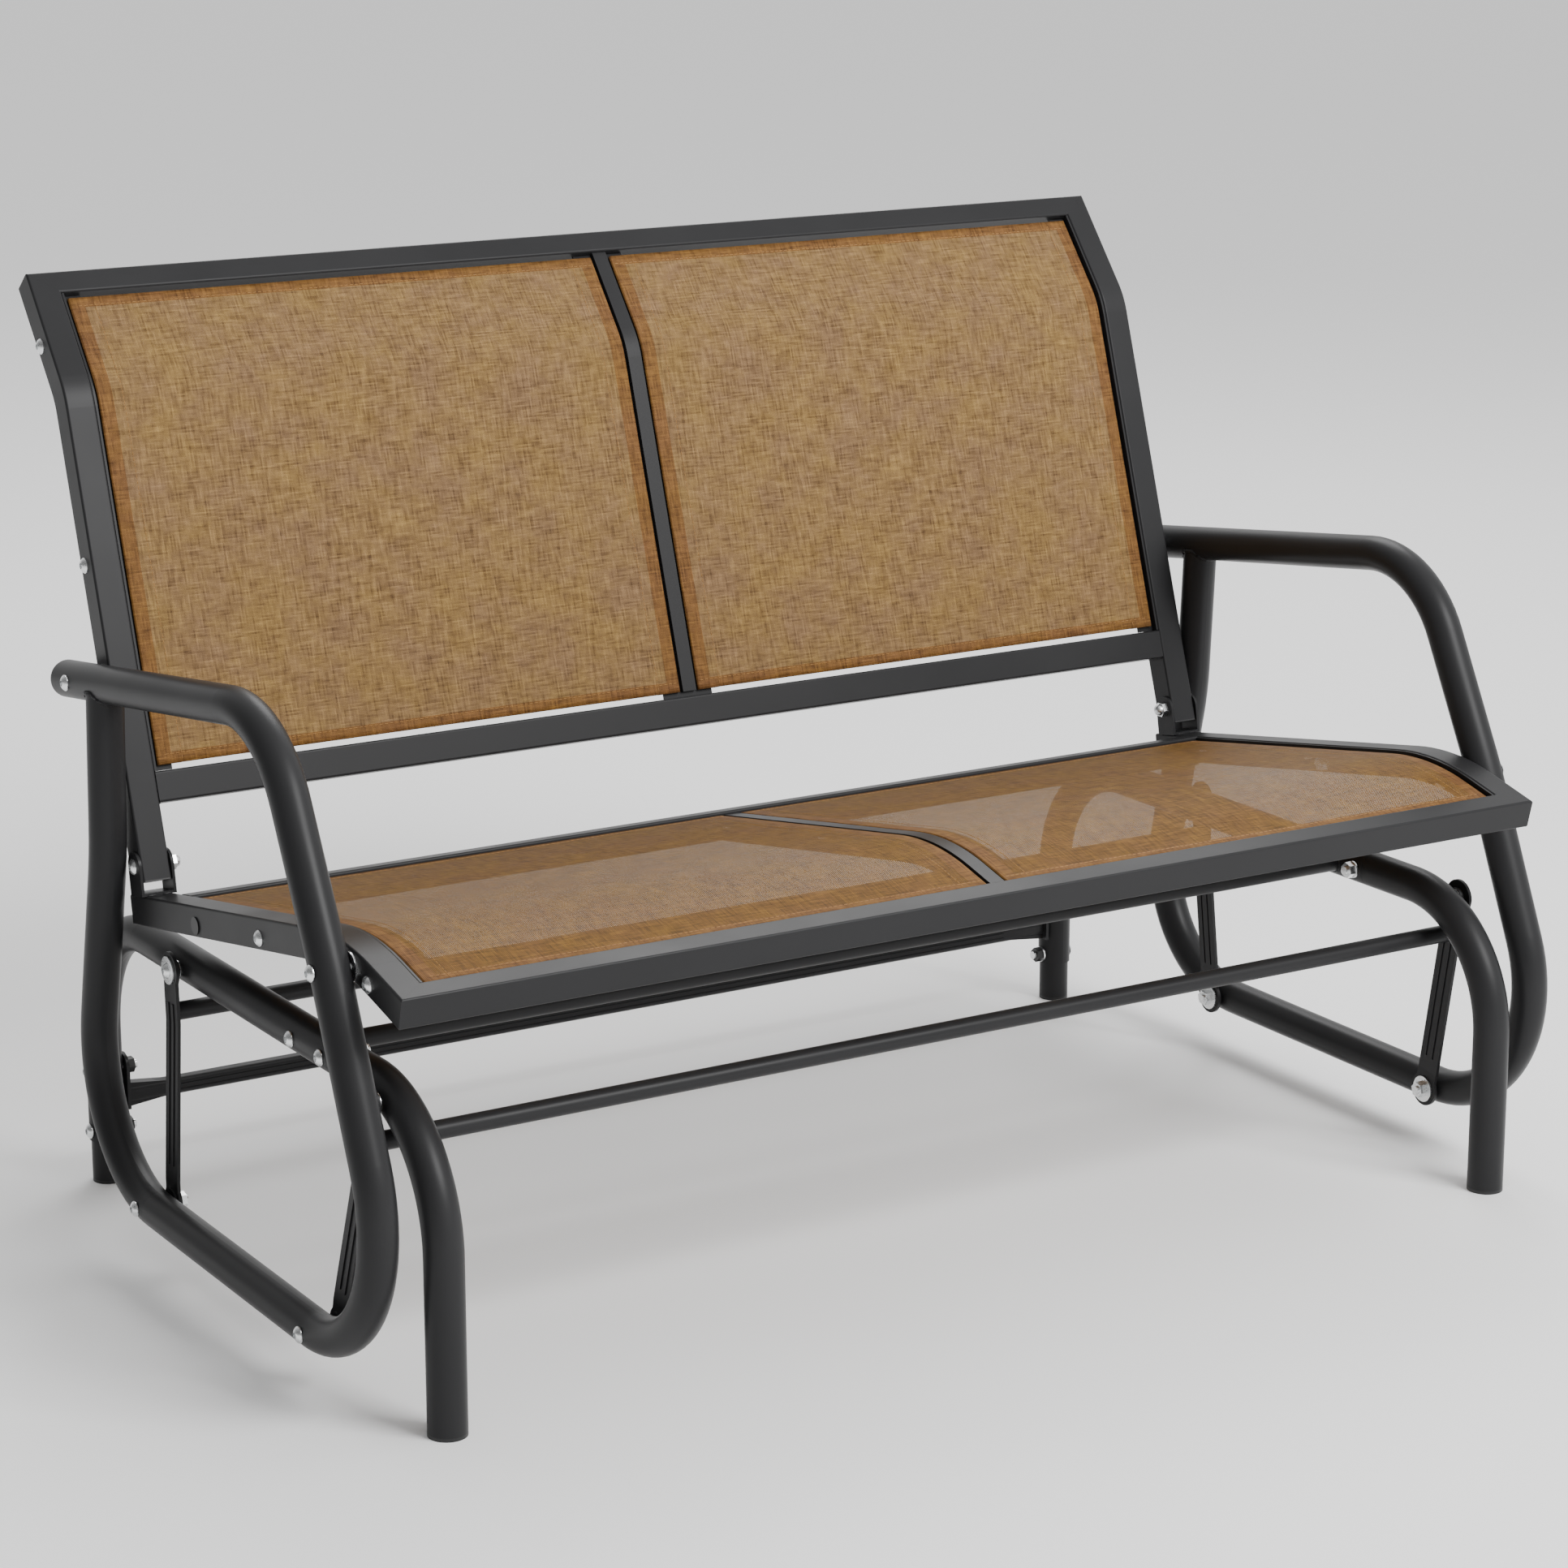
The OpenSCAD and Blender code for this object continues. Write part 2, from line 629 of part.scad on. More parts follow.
// Arm loops: one bent tube, and the riser's end coped to the underside of the armrest
cope_drop = 6;
module arm_tube() {
    riser_dir = unit(riser_top - riser_bend);
    riser_from = riser_bend + 60 * riser_dir;
    color(steel)
        difference() {
            union() {
                translate([arm_x, 0, 0]) side_view()
                    bent_bar([for (i = [0 : 5]) arm_path[i], riser_from], arm_bends) ring(tube_r, tube_in);
                difference() {
                    translate([arm_x, 0, 0]) side_view()
                        bent_bar([riser_from - bend_lap * riser_dir, riser_top - cope_drop * riser_dir], [0, 0])
                            ring(tube_r + bend_swell, tube_in - bend_swell);
                    along_arm(130) cylinder(r = tube_r + weld_gap, h = 100);
                }
            }
            for (p = [rear_low, front_low, arm_seat_bolt, arm_back_bolt])
                cross_hole(arm_in, p, bolt_r + bolt_fit, tube_d);
        }
}
// Local z points rearward along the armrest, from a point this far in front of its rear end
module along_arm(ahead) {
    p = arm_end + ahead * arm_dir;
    translate([arm_x, p[0], p[1]]) rotate([-90 - arm_slope, 0, 0]) children();
}
module armrest_plugs() {
    dome_h = 7;
    dome = (pow(tube_r, 2) + pow(dome_h - 2, 2)) / (2 * (dome_h - 2));
    color(plastic) both()
        along_arm(0) {
            intersection() {
                cylinder(r = tube_r, h = dome_h);
                translate([0, 0, dome_h - dome]) sphere(dome);
            }
            translate([0, 0, -16]) cylinder(r = tube_in - slip, h = 17);
        }
}

// Frames on the rails: local x along the rail's travel, y into the rail, z across the glider
module on_seat(x, s, d = 0) {
    at_point(x, seat_at(s, d), heading(s <= seat_rise_len ? rise_dir : fall_dir)) children();
}
module on_back(x, s, d = 0) {
    at_point(x, back_at(s, d), heading(s <= back_low_len ? -low_dir : -head_dir)) children();
}
// Bars that follow the seat's top face or the back's front face between two stations
module along_seat(from, to) {
    side_view() bent_bar([seat_at(from, 0), knee, seat_at(to, 0)], [0, knee_r, 0]) children();
}
module along_back(from, to) {
    side_view() bent_bar([back_at(to, 0), back_knee, back_at(from, 0)], [0, back_bend_r, 0]) children();
}
// Prism that a mitred cross rail fills, seen square to the face: near and far half lengths
module mitre_prism(near, far) {
    slope = (far - near) / cross_w;
    translate([0, rail_d + cut, 0]) rotate([90, 0, 0])
        linear_extrude(height = rail_d + 2 * cut)
            polygon([[-cut, -near + cut * slope], [cross_w + cut, -far - cut * slope],
                     [cross_w + cut, far + cut * slope], [-cut, near - cut * slope]]);
}
module cross_section(width) {
    difference() {
        rounded(width, rail_d, rail_round);
        translate([rail_wall, rail_wall]) square([width - 2 * rail_wall, rail_d - 2 * rail_wall]);
    }
}
module cross_rail(half, width) {
    translate([0, 0, -half]) linear_extrude(height = 2 * half) cross_section(width);
}

// Seat frame
seat_bolt_list = [268, seat_rise_len + 53.7];
seat_plug_s = 138;
front_rail_s = seat_len - cross_w;
module seat_side_rail() {
    color(steel)
        difference() {
            along_seat(0, seat_len) box_section(rail_d, rail_in, rail_w);
            on_seat(0, front_rail_s) mitre_prism(rail_in + weld_gap, rail_out + weld_gap);
            for (s = concat(seat_bolt_list, [seat_bolt_s]))
                cross_hole(rail_in, seat_at(s, bolt_depth), bolt_r + bolt_fit, rail_w);
            cross_hole(rail_out - 5, seat_at(seat_plug_s, bolt_depth), button_r + slip, 5);
        }
}
module seat_front_rail() {
    color(steel) placed()
        intersection() {
            on_seat(0, front_rail_s) cross_rail(rail_out, cross_w);
            on_seat(0, front_rail_s) mitre_prism(rail_in, rail_out);
        }
}
module seat_rear_rail() {
    color(steel) placed() on_seat(0, rear_rail_set) cross_rail(rail_in - weld_gap, rear_rail_w);
}
// Centre bar: a rib between the slings, a flange under their hems and a box below
box_w = 20;
box_d = rail_d - web_top;
module rib_profile() { slab(sling_set, -rib_w / 2, web_top + web_t / 2 - sling_set, rib_w); }
module flange_profile() {
    slab(web_top, -flange_w / 2, web_t, flange_w);
    difference() {
        slab(web_top + web_t / 2, -box_w / 2, box_d - web_t / 2, box_w);
        translate([web_top + web_t / 2 - 1, -box_w / 2 + rail_wall + $swell])
            square([box_d - web_t / 2 + 1 - rail_wall - $swell, box_w - 2 * rail_wall - 2 * $swell]);
    }
}
module seat_centre_bar() {
    from = rear_rail_set + rear_rail_w + weld_gap;
    color(steel) placed()
        difference() {
            along_seat(from, front_rail_s - weld_gap) {
                rib_profile();
                flange_profile();
            }
            for (s = seat_screws, x = [-mid_strip_x, mid_strip_x])
                on_seat(x, s) screw_hole(screw_r + 0.25);
        }
}

// Back frame
back_bolt_list = [276, back_low_len + 55.7];
module back_side_rail() {
    color(steel)
        difference() {
            along_back(0, back_len) box_section(rail_d, rail_in, rail_w);
            on_back(0, back_len) mitre_prism(rail_out + weld_gap, rail_in + weld_gap);
            for (s = back_bolt_list)
                cross_hole(rail_in, back_at(s, bolt_depth), bolt_r + bolt_fit, rail_w);
            for (p = [arm_back_bolt, bracket_bolt])
                cross_hole(rail_in, p, bolt_r + bolt_fit, rail_w);
        }
}
module back_top_rail() {
    color(steel) placed()
        intersection() {
            on_back(0, back_len) cross_rail(rail_out, cross_w);
            on_back(0, back_len) mitre_prism(rail_out, rail_in);
        }
}
module back_lower_rail() {
    color(steel) placed() on_back(0, low_rail_set + low_rail_w) cross_rail(rail_in - weld_gap, low_rail_w);
}
module back_centre_bar() {
    top = back_len - cross_w - weld_gap;
    color(steel) placed()
        difference() {
            union() {
                along_back(back_cloth_from, top) rib_profile();
                along_back(low_rail_set + low_rail_w + weld_gap, top) flange_profile();
            }
            for (s = back_screws, x = [-mid_strip_x, mid_strip_x])
                on_back(x, s) screw_hole(screw_r + 0.25);
        }
}

// Brackets under the back's lower ends: a base on the seat rail and two ears round the back rail
module bracket_ear(x) {
    difference() {
        union() {
            at_point(x, bracket_bolt) cylinder(r = ear_r, h = ear_t);
            on_seat(x, ear_s - ear_r, -ear_h) cube([2 * ear_r, ear_h - weld_gap, ear_t]);
        }
        cross_hole(x, bracket_bolt, bolt_r + bolt_fit, ear_t);
    }
}
module hinge_bracket() {
    color(steel) {
        on_seat(bracket_in, ear_s - ear_r, -ear_t) cube([2 * ear_r, ear_t - weld_gap, bracket_out - bracket_in]);
        bracket_ear(bracket_in);
        bracket_ear(bracket_out - ear_t);
    }
}
cap_hex = 5.5;
cap_r = 5.9;
module bracket_bolts() {
    color(zinc) both()
        at_point(bracket_out, bracket_bolt) button_bolt(bracket_out - bracket_in + cap_hex);
}
module bracket_cap_nuts() {
    color(zinc) both()
        at_point(bracket_in - cap_hex, bracket_bolt)
            difference() {
                union() {
                    cylinder(d = nut_af / cos(30), h = cap_hex, $fn = 6);
                    intersection() {
                        sphere(cap_r);
                        translate([0, 0, -cap_r]) cylinder(r = cap_r, h = cap_r);
                    }
                }
                translate([0, 0, -1]) cylinder(r = bolt_r + thread_fit, h = cap_hex + 2, $fn = 24);
            }
}

// Slings, their rails and the strips inside their hems
side_strip_x = cloth_out - 0.9 - strip_w / 2;
mid_strip_x = cloth_in + 0.9 + strip_w / 2;
screw_r = 2;
screw_head_r = 3.8;
screw_head_h = 2.2;
strip_end = 4;
seat_screws = [seat_cloth_from + 25, seat_cloth_from + 190, seat_cloth_to - 24];
back_screws = [back_cloth_from + 30, back_cloth_from + 215, back_cloth_to - 60];
// Round cut from the back of the web to just under the fabric
module screw_hole(r) {
    translate([0, web_top + web_t + cut, 0]) rotate([90, 0, 0])
        cylinder(r = r, h = web_top + web_t + cut - strip_top - 0.05, $fn = 24);
}
module rail_profile() {
    slab(leg_top, leg_x, leg_foot - leg_top, leg_t);
    slab(web_top, leg_x - web_w, web_t, web_w + leg_t / 2);
}
module seat_sling_rails() {
    from = rear_rail_set + rear_rail_w + 0.5;
    color(steel) both()
        difference() {
            along_seat(from, front_rail_s - 0.5) rail_profile();
            for (s = concat(seat_bolt_list, [seat_bolt_s]))
                cross_hole(leg_x, seat_at(s, bolt_depth), bolt_r + bolt_fit, leg_t);
            for (s = seat_screws)
                on_seat(side_strip_x, s) screw_hole(screw_r + 0.25);
            cross_hole(leg_x - nut_t, arm_seat_bolt, nut_af / 2 + 2, nut_t - cut - weld_gap);
        }
}
module back_sling_rails() {
    from = low_rail_set + low_rail_w + 0.5;
    color(steel) both()
        difference() {
            along_back(from, back_len - cross_w - 0.5) rail_profile();
            for (p = concat([for (s = back_bolt_list) back_at(s, bolt_depth)], [arm_back_bolt]))
                cross_hole(leg_x, p, bolt_r + bolt_fit, leg_t);
            for (s = back_screws)
                on_back(side_strip_x, s) screw_hole(screw_r + 0.25);
        }
}
module strip_profile(x) { slab(strip_top, x - strip_w / 2, strip_t, strip_w); }
module seat_sling_strips() {
    color(zinc) both()
        for (x = [mid_strip_x, side_strip_x])
            difference() {
                along_seat(seat_cloth_from + strip_end, seat_cloth_to - strip_end) strip_profile(x);
                for (s = seat_screws) on_seat(x, s) screw_hole(screw_r + 0.05);
            }
}
module back_sling_strips() {
    color(zinc) both()
        for (x = [mid_strip_x, side_strip_x])
            difference() {
                along_back(back_cloth_from + strip_end, back_cloth_to - strip_end) strip_profile(x);
                for (s = back_screws) on_back(x, s) screw_hole(screw_r + 0.05);
            }
}
// Fabric: one layer across, folded round the strip at both sides
fold_w = strip_w + 4;
fold_d = strip_top + strip_t + 0.1;
module cloth_profile() {
    slab(sling_set, cloth_in, fabric_t, cloth_out - cloth_in);
    for (x = [cloth_in, cloth_out - fabric_t]) slab(sling_set, x, fold_d + fabric_t - sling_set, fabric_t);
    for (x = [cloth_in, cloth_out - fold_w]) slab(fold_d, x, fabric_t, fold_w);
}
module seat_sling() {
    color(cloth)
        difference() {
            along_seat(seat_cloth_from, seat_cloth_to) cloth_profile();
            for (s = seat_screws, x = [mid_strip_x, side_strip_x])
                on_seat(x, s) screw_hole(screw_r + 0.25);
        }
}
module back_sling() {
    color(cloth)
        difference() {
            along_back(back_cloth_from, back_cloth_to) cloth_profile();
            for (s = back_screws, x = [mid_strip_x, side_strip_x])
                on_back(x, s) screw_hole(screw_r + 0.25);
        }
}
module sling_screw() {
    translate([0, web_top + web_t, 0]) rotate([90, 0, 0])
        difference() {
            union() {
                cylinder(r = screw_r, h = web_top + web_t - strip_top - 0.2, $fn = 24);
                translate([0, 0, -screw_head_h]) cylinder(r = screw_head_r, h = screw_head_h, $fn = 24);
            }
            for (a = [0, 90])
                rotate([0, 0, a]) translate([-2.2, -0.5, -screw_head_h - 1]) cube([4.4, 1, 2.2]);
        }
}
module sling_screws() {
    color(zinc) both()
        for (x = [mid_strip_x, side_strip_x]) {
            for (s = seat_screws) on_seat(x, s) sling_screw();
            for (s = back_screws) on_back(x, s) sling_screw();
        }
}
// Bolts through the side rails and the sling rails, nuts inside with a flat towards the web.
// Heads and nuts seat on the bends' slightly thicker walls
head_x = rail_out + bend_swell;
nut_x = leg_x - bend_swell - nut_t;
frame_grip = head_x - nut_x - nut_t;
module sling_bolts() {
    color(zinc) both() {
        for (s = seat_bolt_list) on_seat(head_x, s, bolt_depth) button_bolt(frame_grip + nut_t + 2);
        for (s = back_bolt_list) on_back(head_x, s, bolt_depth) button_bolt(frame_grip + nut_t + 2);
    }
}
module sling_nuts() {
    color(zinc) both() {
        for (s = seat_bolt_list) on_seat(nut_x, s, bolt_depth) hex_nut(nut_t);
        for (s = back_bolt_list) on_back(nut_x, s, bolt_depth) hex_nut(nut_t);
    }
}
// Black plugs: square ones in the rails' open ends and round ones in the seat rails' outer faces
button_r = 6;
end_plug_t = 1.2;
module square_plug() {
    inner = rail_wall + slip;
    rotate([90, 0, 90]) {
        translate([0, rail_in, -end_plug_t]) linear_extrude(height = end_plug_t) rounded(rail_d, rail_w, rail_round);
        translate([inner, rail_in + inner, -0.01])
            linear_extrude(height = 9) square([rail_d - 2 * inner, rail_w - 2 * inner]);
    }
}
module rail_plugs() {
    color(plastic) both() {
        on_seat(0, 0) square_plug();
        on_back(0, 0) mirror([1, 0, 0]) square_plug();
        on_seat(rail_out, seat_plug_s, bolt_depth) {
            cylinder(r = button_r + 1.5, h = 1.2, $fn = 32);
            translate([0, 0, -5]) cylinder(r = button_r, h = 5.5, $fn = 32);
        }
    }
}

// Arm fixings: bolts through the arm tube, a spacer, the rail and the sling rail
arm_fixings = [arm_seat_bolt, arm_back_bolt];
arm_grip = arm_in + tube_d - leg_x;
module arm_bolts() {
    color(zinc) both()
        for (p = arm_fixings) at_point(arm_in + tube_d, p) button_bolt(arm_grip + nut_t + 2);
}
module arm_nuts() {
    color(zinc) both() {
        on_seat(nut_x, seat_bolt_s, bolt_depth) hex_nut(nut_t);
        at_point(nut_x, arm_back_bolt, heading(-low_dir)) hex_nut(nut_t);
    }
}
module arm_spacers() {
    color(zinc) both()
        for (p = arm_fixings) at_point(head_x, p) washer(big_washer_d, arm_gap - 2 * bend_swell);
}

// Lower pivots: bolt through the arm tube, flanged bush, link eye, washer and lock nut
lower_flange_r = 12;
lower_washer_x = low_out - link_t - face_gap - washer_t;
lower_nut_t = 6.5;
module lower_pivot_bolts() {
    color(zinc) both()
        for (p = [rear_low, front_low])
            at_point(arm_in + tube_d, p) button_bolt(arm_in + tube_d - lower_washer_x + lower_nut_t + 2);
}
module lower_pivot_bushes() {
    color(nylon) both()
        for (p = [rear_low, front_low])
            at_point(arm_in, p) mirror([0, 0, 1]) stepped_bush(lower_flange_r, arm_gap - face_gap);
}
module lower_pivot_washers() {
    color(zinc) both()
        for (p = [rear_low, front_low])
            at_point(lower_washer_x, p) washer(big_washer_d, washer_t);
}
module lower_pivot_nuts() {
    color(zinc) both()
        for (p = [rear_low, front_low])
            at_point(lower_washer_x - lower_nut_t, p, 12) hex_nut(lower_nut_t);
}

left_only() base_rear_tube();  // base_rear_tube_left
right_only() base_rear_tube();  // base_rear_tube_right
left_only() base_front_tube();  // base_front_tube_left
right_only() base_front_tube();  // base_front_tube_right
left_only() rear_foot_tube();  // rear_foot_tube_left
right_only() rear_foot_tube();  // rear_foot_tube_right
foot_plugs();
base_middle_bar();
base_rear_bar();
base_bolts();
base_nuts();
base_washers();
pivot_inserts();
upper_pivot_bolts();
upper_pivot_washers();
upper_pivot_bushes();
left_only() rear_link();  // rear_link_left
right_only() rear_link();  // rear_link_right
tie_bar(rear_tie);  // rear_tie_bar
left_only() front_link();  // front_link_left
right_only() front_link();  // front_link_right
tie_bar(front_tie);  // front_tie_bar
left_only() arm_tube();  // arm_tube_left
right_only() arm_tube();  // arm_tube_right
armrest_plugs();
left_only() seat_side_rail();  // seat_side_rail_left
right_only() seat_side_rail();  // seat_side_rail_right
seat_front_rail();
seat_rear_rail();
seat_centre_bar();
left_only() back_side_rail();  // back_side_rail_left
right_only() back_side_rail();  // back_side_rail_right
back_top_rail();
back_lower_rail();
back_centre_bar();
left_only() hinge_bracket();  // hinge_bracket_left
right_only() hinge_bracket();  // hinge_bracket_right
bracket_bolts();
bracket_cap_nuts();
seat_sling_rails();
back_sling_rails();
seat_sling_strips();
back_sling_strips();
left_only() seat_sling();  // seat_sling_left
right_only() seat_sling();  // seat_sling_right
left_only() back_sling();  // back_sling_left
right_only() back_sling();  // back_sling_right
sling_bolts();
sling_nuts();
sling_screws();
rail_plugs();
arm_bolts();
arm_nuts();
arm_spacers();
lower_pivot_bolts();
lower_pivot_bushes();
lower_pivot_washers();
lower_pivot_nuts();
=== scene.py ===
"""Patio glider: a two-seat sling bench that hangs from a tubular base on four links.

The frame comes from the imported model. This script adds the woven slings with their hems and
stitching, the weld beads, the finishes, the light and the camera. Lengths are in millimetres
until MM turns them to metres.
"""
import json
import math
import random

import bpy
from mathutils import Matrix, Vector


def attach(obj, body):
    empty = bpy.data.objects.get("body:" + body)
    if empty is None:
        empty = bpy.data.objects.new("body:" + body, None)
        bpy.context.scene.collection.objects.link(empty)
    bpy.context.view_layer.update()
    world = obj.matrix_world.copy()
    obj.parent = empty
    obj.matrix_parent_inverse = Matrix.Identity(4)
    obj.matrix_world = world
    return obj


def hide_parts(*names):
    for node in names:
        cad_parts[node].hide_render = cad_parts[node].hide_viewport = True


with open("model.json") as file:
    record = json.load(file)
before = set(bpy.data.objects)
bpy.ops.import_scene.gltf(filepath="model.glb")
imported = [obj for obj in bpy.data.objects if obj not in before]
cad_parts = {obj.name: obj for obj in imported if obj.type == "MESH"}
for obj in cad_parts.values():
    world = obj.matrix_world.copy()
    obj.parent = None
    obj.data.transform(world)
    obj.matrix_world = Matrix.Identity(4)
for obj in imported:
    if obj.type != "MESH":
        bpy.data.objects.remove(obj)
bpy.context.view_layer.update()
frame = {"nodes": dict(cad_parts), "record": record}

MM = 0.001

# Camera, found from the photograph's straight lines
PHOTO_WIDTH = 1932
FOCAL_PIXELS = 5112.1
SENSOR = 36.0
CAMERA_PLACE = (-1.8735, -3.0515, 1.3079)
CAMERA_YAW = 31.45
CAMERA_DIP = 14.31
CAMERA_ROLL = -0.06


def add_camera():
    """The camera stands in front, towards the bench's left-hand end and above the seat."""
    lens = bpy.data.cameras.new("photo_camera")
    lens.sensor_width = SENSOR
    lens.lens = FOCAL_PIXELS / PHOTO_WIDTH * SENSOR
    lens.shift_x = 0.0021
    lens.shift_y = -0.0141
    lens.clip_end = 60
    camera = bpy.data.objects.new("photo_camera", lens)
    turn = (Matrix.Rotation(math.radians(-CAMERA_YAW), 4, "Z")
            @ Matrix.Rotation(math.radians(90 - CAMERA_DIP), 4, "X")
            @ Matrix.Rotation(math.radians(CAMERA_ROLL), 4, "Z"))
    camera.matrix_world = Matrix.Translation(CAMERA_PLACE) @ turn
    bpy.context.scene.collection.objects.link(camera)
    bpy.context.scene.camera = camera


add_camera()

# Sizes, as in the part
SHIFT = -11.22          # the base's middle in the row frame
LEG_Y = 340
LINK = 205
LOWER_Z = 55.5
REAR_LEAN, FRONT_LEAN = math.radians(2.8), math.radians(13.4)
BASE_H = LOWER_Z + LINK * math.cos(REAR_LEAN)
BEND_R = 115
REAR_PIVOT_IN, FRONT_PIVOT_IN = 216, 77     # the upper pivots, inward from the legs
TIE_DROP = 37           # from a link's upper pivot down to its tie bar
SPLIT_Y = -170          # where the front tube slides into the rear tube
JOINT_EDGE, JOINT_PITCH = 11.6, 56          # the two bolts behind that split
TUBE_R = 16.25
BAR_R = 8
BASE_X = 527
MIDDLE_BAR_Y = SPLIT_Y + JOINT_EDGE + JOINT_PITCH / 2 + SHIFT
ARM_X = 578.25
LINK_IN = 548           # inner face of the links' upper ends
SEAT_HALF = 560
RAIL_W = 26.5
RAIL_IN = SEAT_HALF - RAIL_W
RAIL_D = 26.5

SEAT_PITCH, SEAT_DROP = math.radians(9.75), math.radians(13.9)
SEAT_RISE, SEAT_LEN, KNEE_R = 425, 534, 250
SEAT_BACK_SET, SEAT_LIFT = 56, 54.9         # the seat's rear end, from the rear upper pivot
BACK_LEAN, HEAD_LEAN = math.radians(18.15), math.radians(39.4)
BACK_LOW, BACK_LEN, BACK_R = 425, 545, 80
BACK_FOOT_S, BACK_FOOT_H = 32.3, 13.6       # the back's lower end, along and above the seat
CROSS_W = 21.5
REAR_RAIL_S, REAR_RAIL_W = 48.7, 20.3
LOW_RAIL_S, LOW_RAIL_W = 64.7, 27
ARM_SLOPE = math.radians(7.67)
ARM_TAIL, ARM_RISE = 73.8, 178.6            # the armrest's rear end, from the seat's
RISER_BEND = (1.9, 38.9)                    # the riser's lower corner, from there too
RISER_TALL, RISER_LEAN = 150.7, 0.055       # its height above that, and its slant

CLOTH_T = 0.8
CLOTH_DEPTH = 3         # the fabric's face lies this far behind the rails' faces
CLOTH_IN, CLOTH_OUT = 9.5, 528.5            # a sling's sides, from the middle of the bench
STRIP_W = 18
SEAT_ENDS = (REAR_RAIL_S + REAR_RAIL_W + 1, SEAT_LEN - CROSS_W - 1)
BACK_ENDS = (LOW_RAIL_S + LOW_RAIL_W + 5, BACK_LEN - CROSS_W - 5)


class Face:
    """A bent rail's face in side view: a straight, a round bend and a straight."""

    def __init__(self, start, first, second, bend_at, radius, inward):
        self.first, self.second = first, second
        self.bend_at, self.radius, self.inward = bend_at, radius, inward
        self.corner = start + bend_at * first
        self.trim = radius * math.tan(first.angle(second) / 2)

    def normal(self, along):
        """Unit vector into the rail."""
        return self.inward * Vector((-along.y, along.x))

    def at(self, s, depth):
        """Point (y, z) at distance s along the unbent line and this depth under the face."""
        gap = s - self.bend_at
        if abs(gap) >= self.trim:
            along = self.first if gap < 0 else self.second
            return self.corner + gap * along + depth * self.normal(along)
        bend_start = self.corner - self.trim * self.first
        centre = bend_start + self.radius * self.normal(self.first)
        share = (gap + self.trim) / (2 * self.trim)
        along = self.first.lerp(self.second, share).normalized()
        return centre - (self.radius - depth) * self.normal(along)


def seat_face():
    """The seat rails' top, from the rear end over the knee to the front."""
    rise = Vector((-math.cos(SEAT_PITCH), math.sin(SEAT_PITCH)))
    fall = Vector((-math.cos(SEAT_DROP), -math.sin(SEAT_DROP)))
    start = Vector((LEG_Y - REAR_PIVOT_IN + SHIFT + SEAT_BACK_SET, BASE_H + SEAT_LIFT))
    return Face(start, rise, fall, SEAT_RISE, KNEE_R, 1)


def back_face(seat):
    """The back rails' front, from the hinge brackets up over the bend to the top."""
    low = Vector((math.sin(BACK_LEAN), math.cos(BACK_LEAN)))
    head = Vector((math.sin(HEAD_LEAN), math.cos(HEAD_LEAN)))
    return Face(seat.at(BACK_FOOT_S, -BACK_FOOT_H), low, head, BACK_LOW, BACK_R, -1)


SEAT = seat_face()
BACK = back_face(SEAT)
REAR_UP = Vector((LEG_Y - REAR_PIVOT_IN + SHIFT, BASE_H))
FRONT_UP = Vector((FRONT_PIVOT_IN - LEG_Y + SHIFT,
                   BASE_H - BEND_R + math.sqrt(BEND_R ** 2 - (BEND_R - FRONT_PIVOT_IN) ** 2)))


# Finishes
def linear(hex_colour):
    """An sRGB hex colour as linear RGBA."""
    parts = [int(hex_colour[i:i + 2], 16) / 255 for i in (1, 3, 5)]
    return [c / 12.92 if c <= 0.04045 else ((c + 0.055) / 1.055) ** 2.4 for c in parts] + [1.0]


def add_node(tree, kind, settings=None, inputs=None):
    """Adds a node, sets its properties, and gives its inputs a value or links them to an output."""
    made = tree.nodes.new(kind)
    for name, value in (settings or {}).items():
        setattr(made, name, value)
    for name, value in (inputs or {}).items():
        if isinstance(value, bpy.types.NodeSocket):
            tree.links.new(value, made.inputs[name])
        else:
            made.inputs[name].default_value = value
    return made


def new_material(name):
    """An empty material with its surface shader: (material, tree, shader)."""
    material = bpy.data.materials.new(name)
    material.use_nodes = True
    tree = material.node_tree
    tree.nodes.clear()
    shader = add_node(tree, "ShaderNodeBsdfPrincipled")
    add_node(tree, "ShaderNodeOutputMaterial", inputs={"Surface": shader.outputs["BSDF"]})
    return material, tree, shader


PEEL = 1.6          # dimples of orange peel in a powder coat
ZINC_GRAIN = 1.2    # patches of duller plating
SPANGLE = 5         # zinc crystals on hot-dip bar
SPARK_GRAIN = 0.6   # mould texture
TURNING = 1.0       # tool marks on the bushes
TWIST = 0.8         # plies of the thread


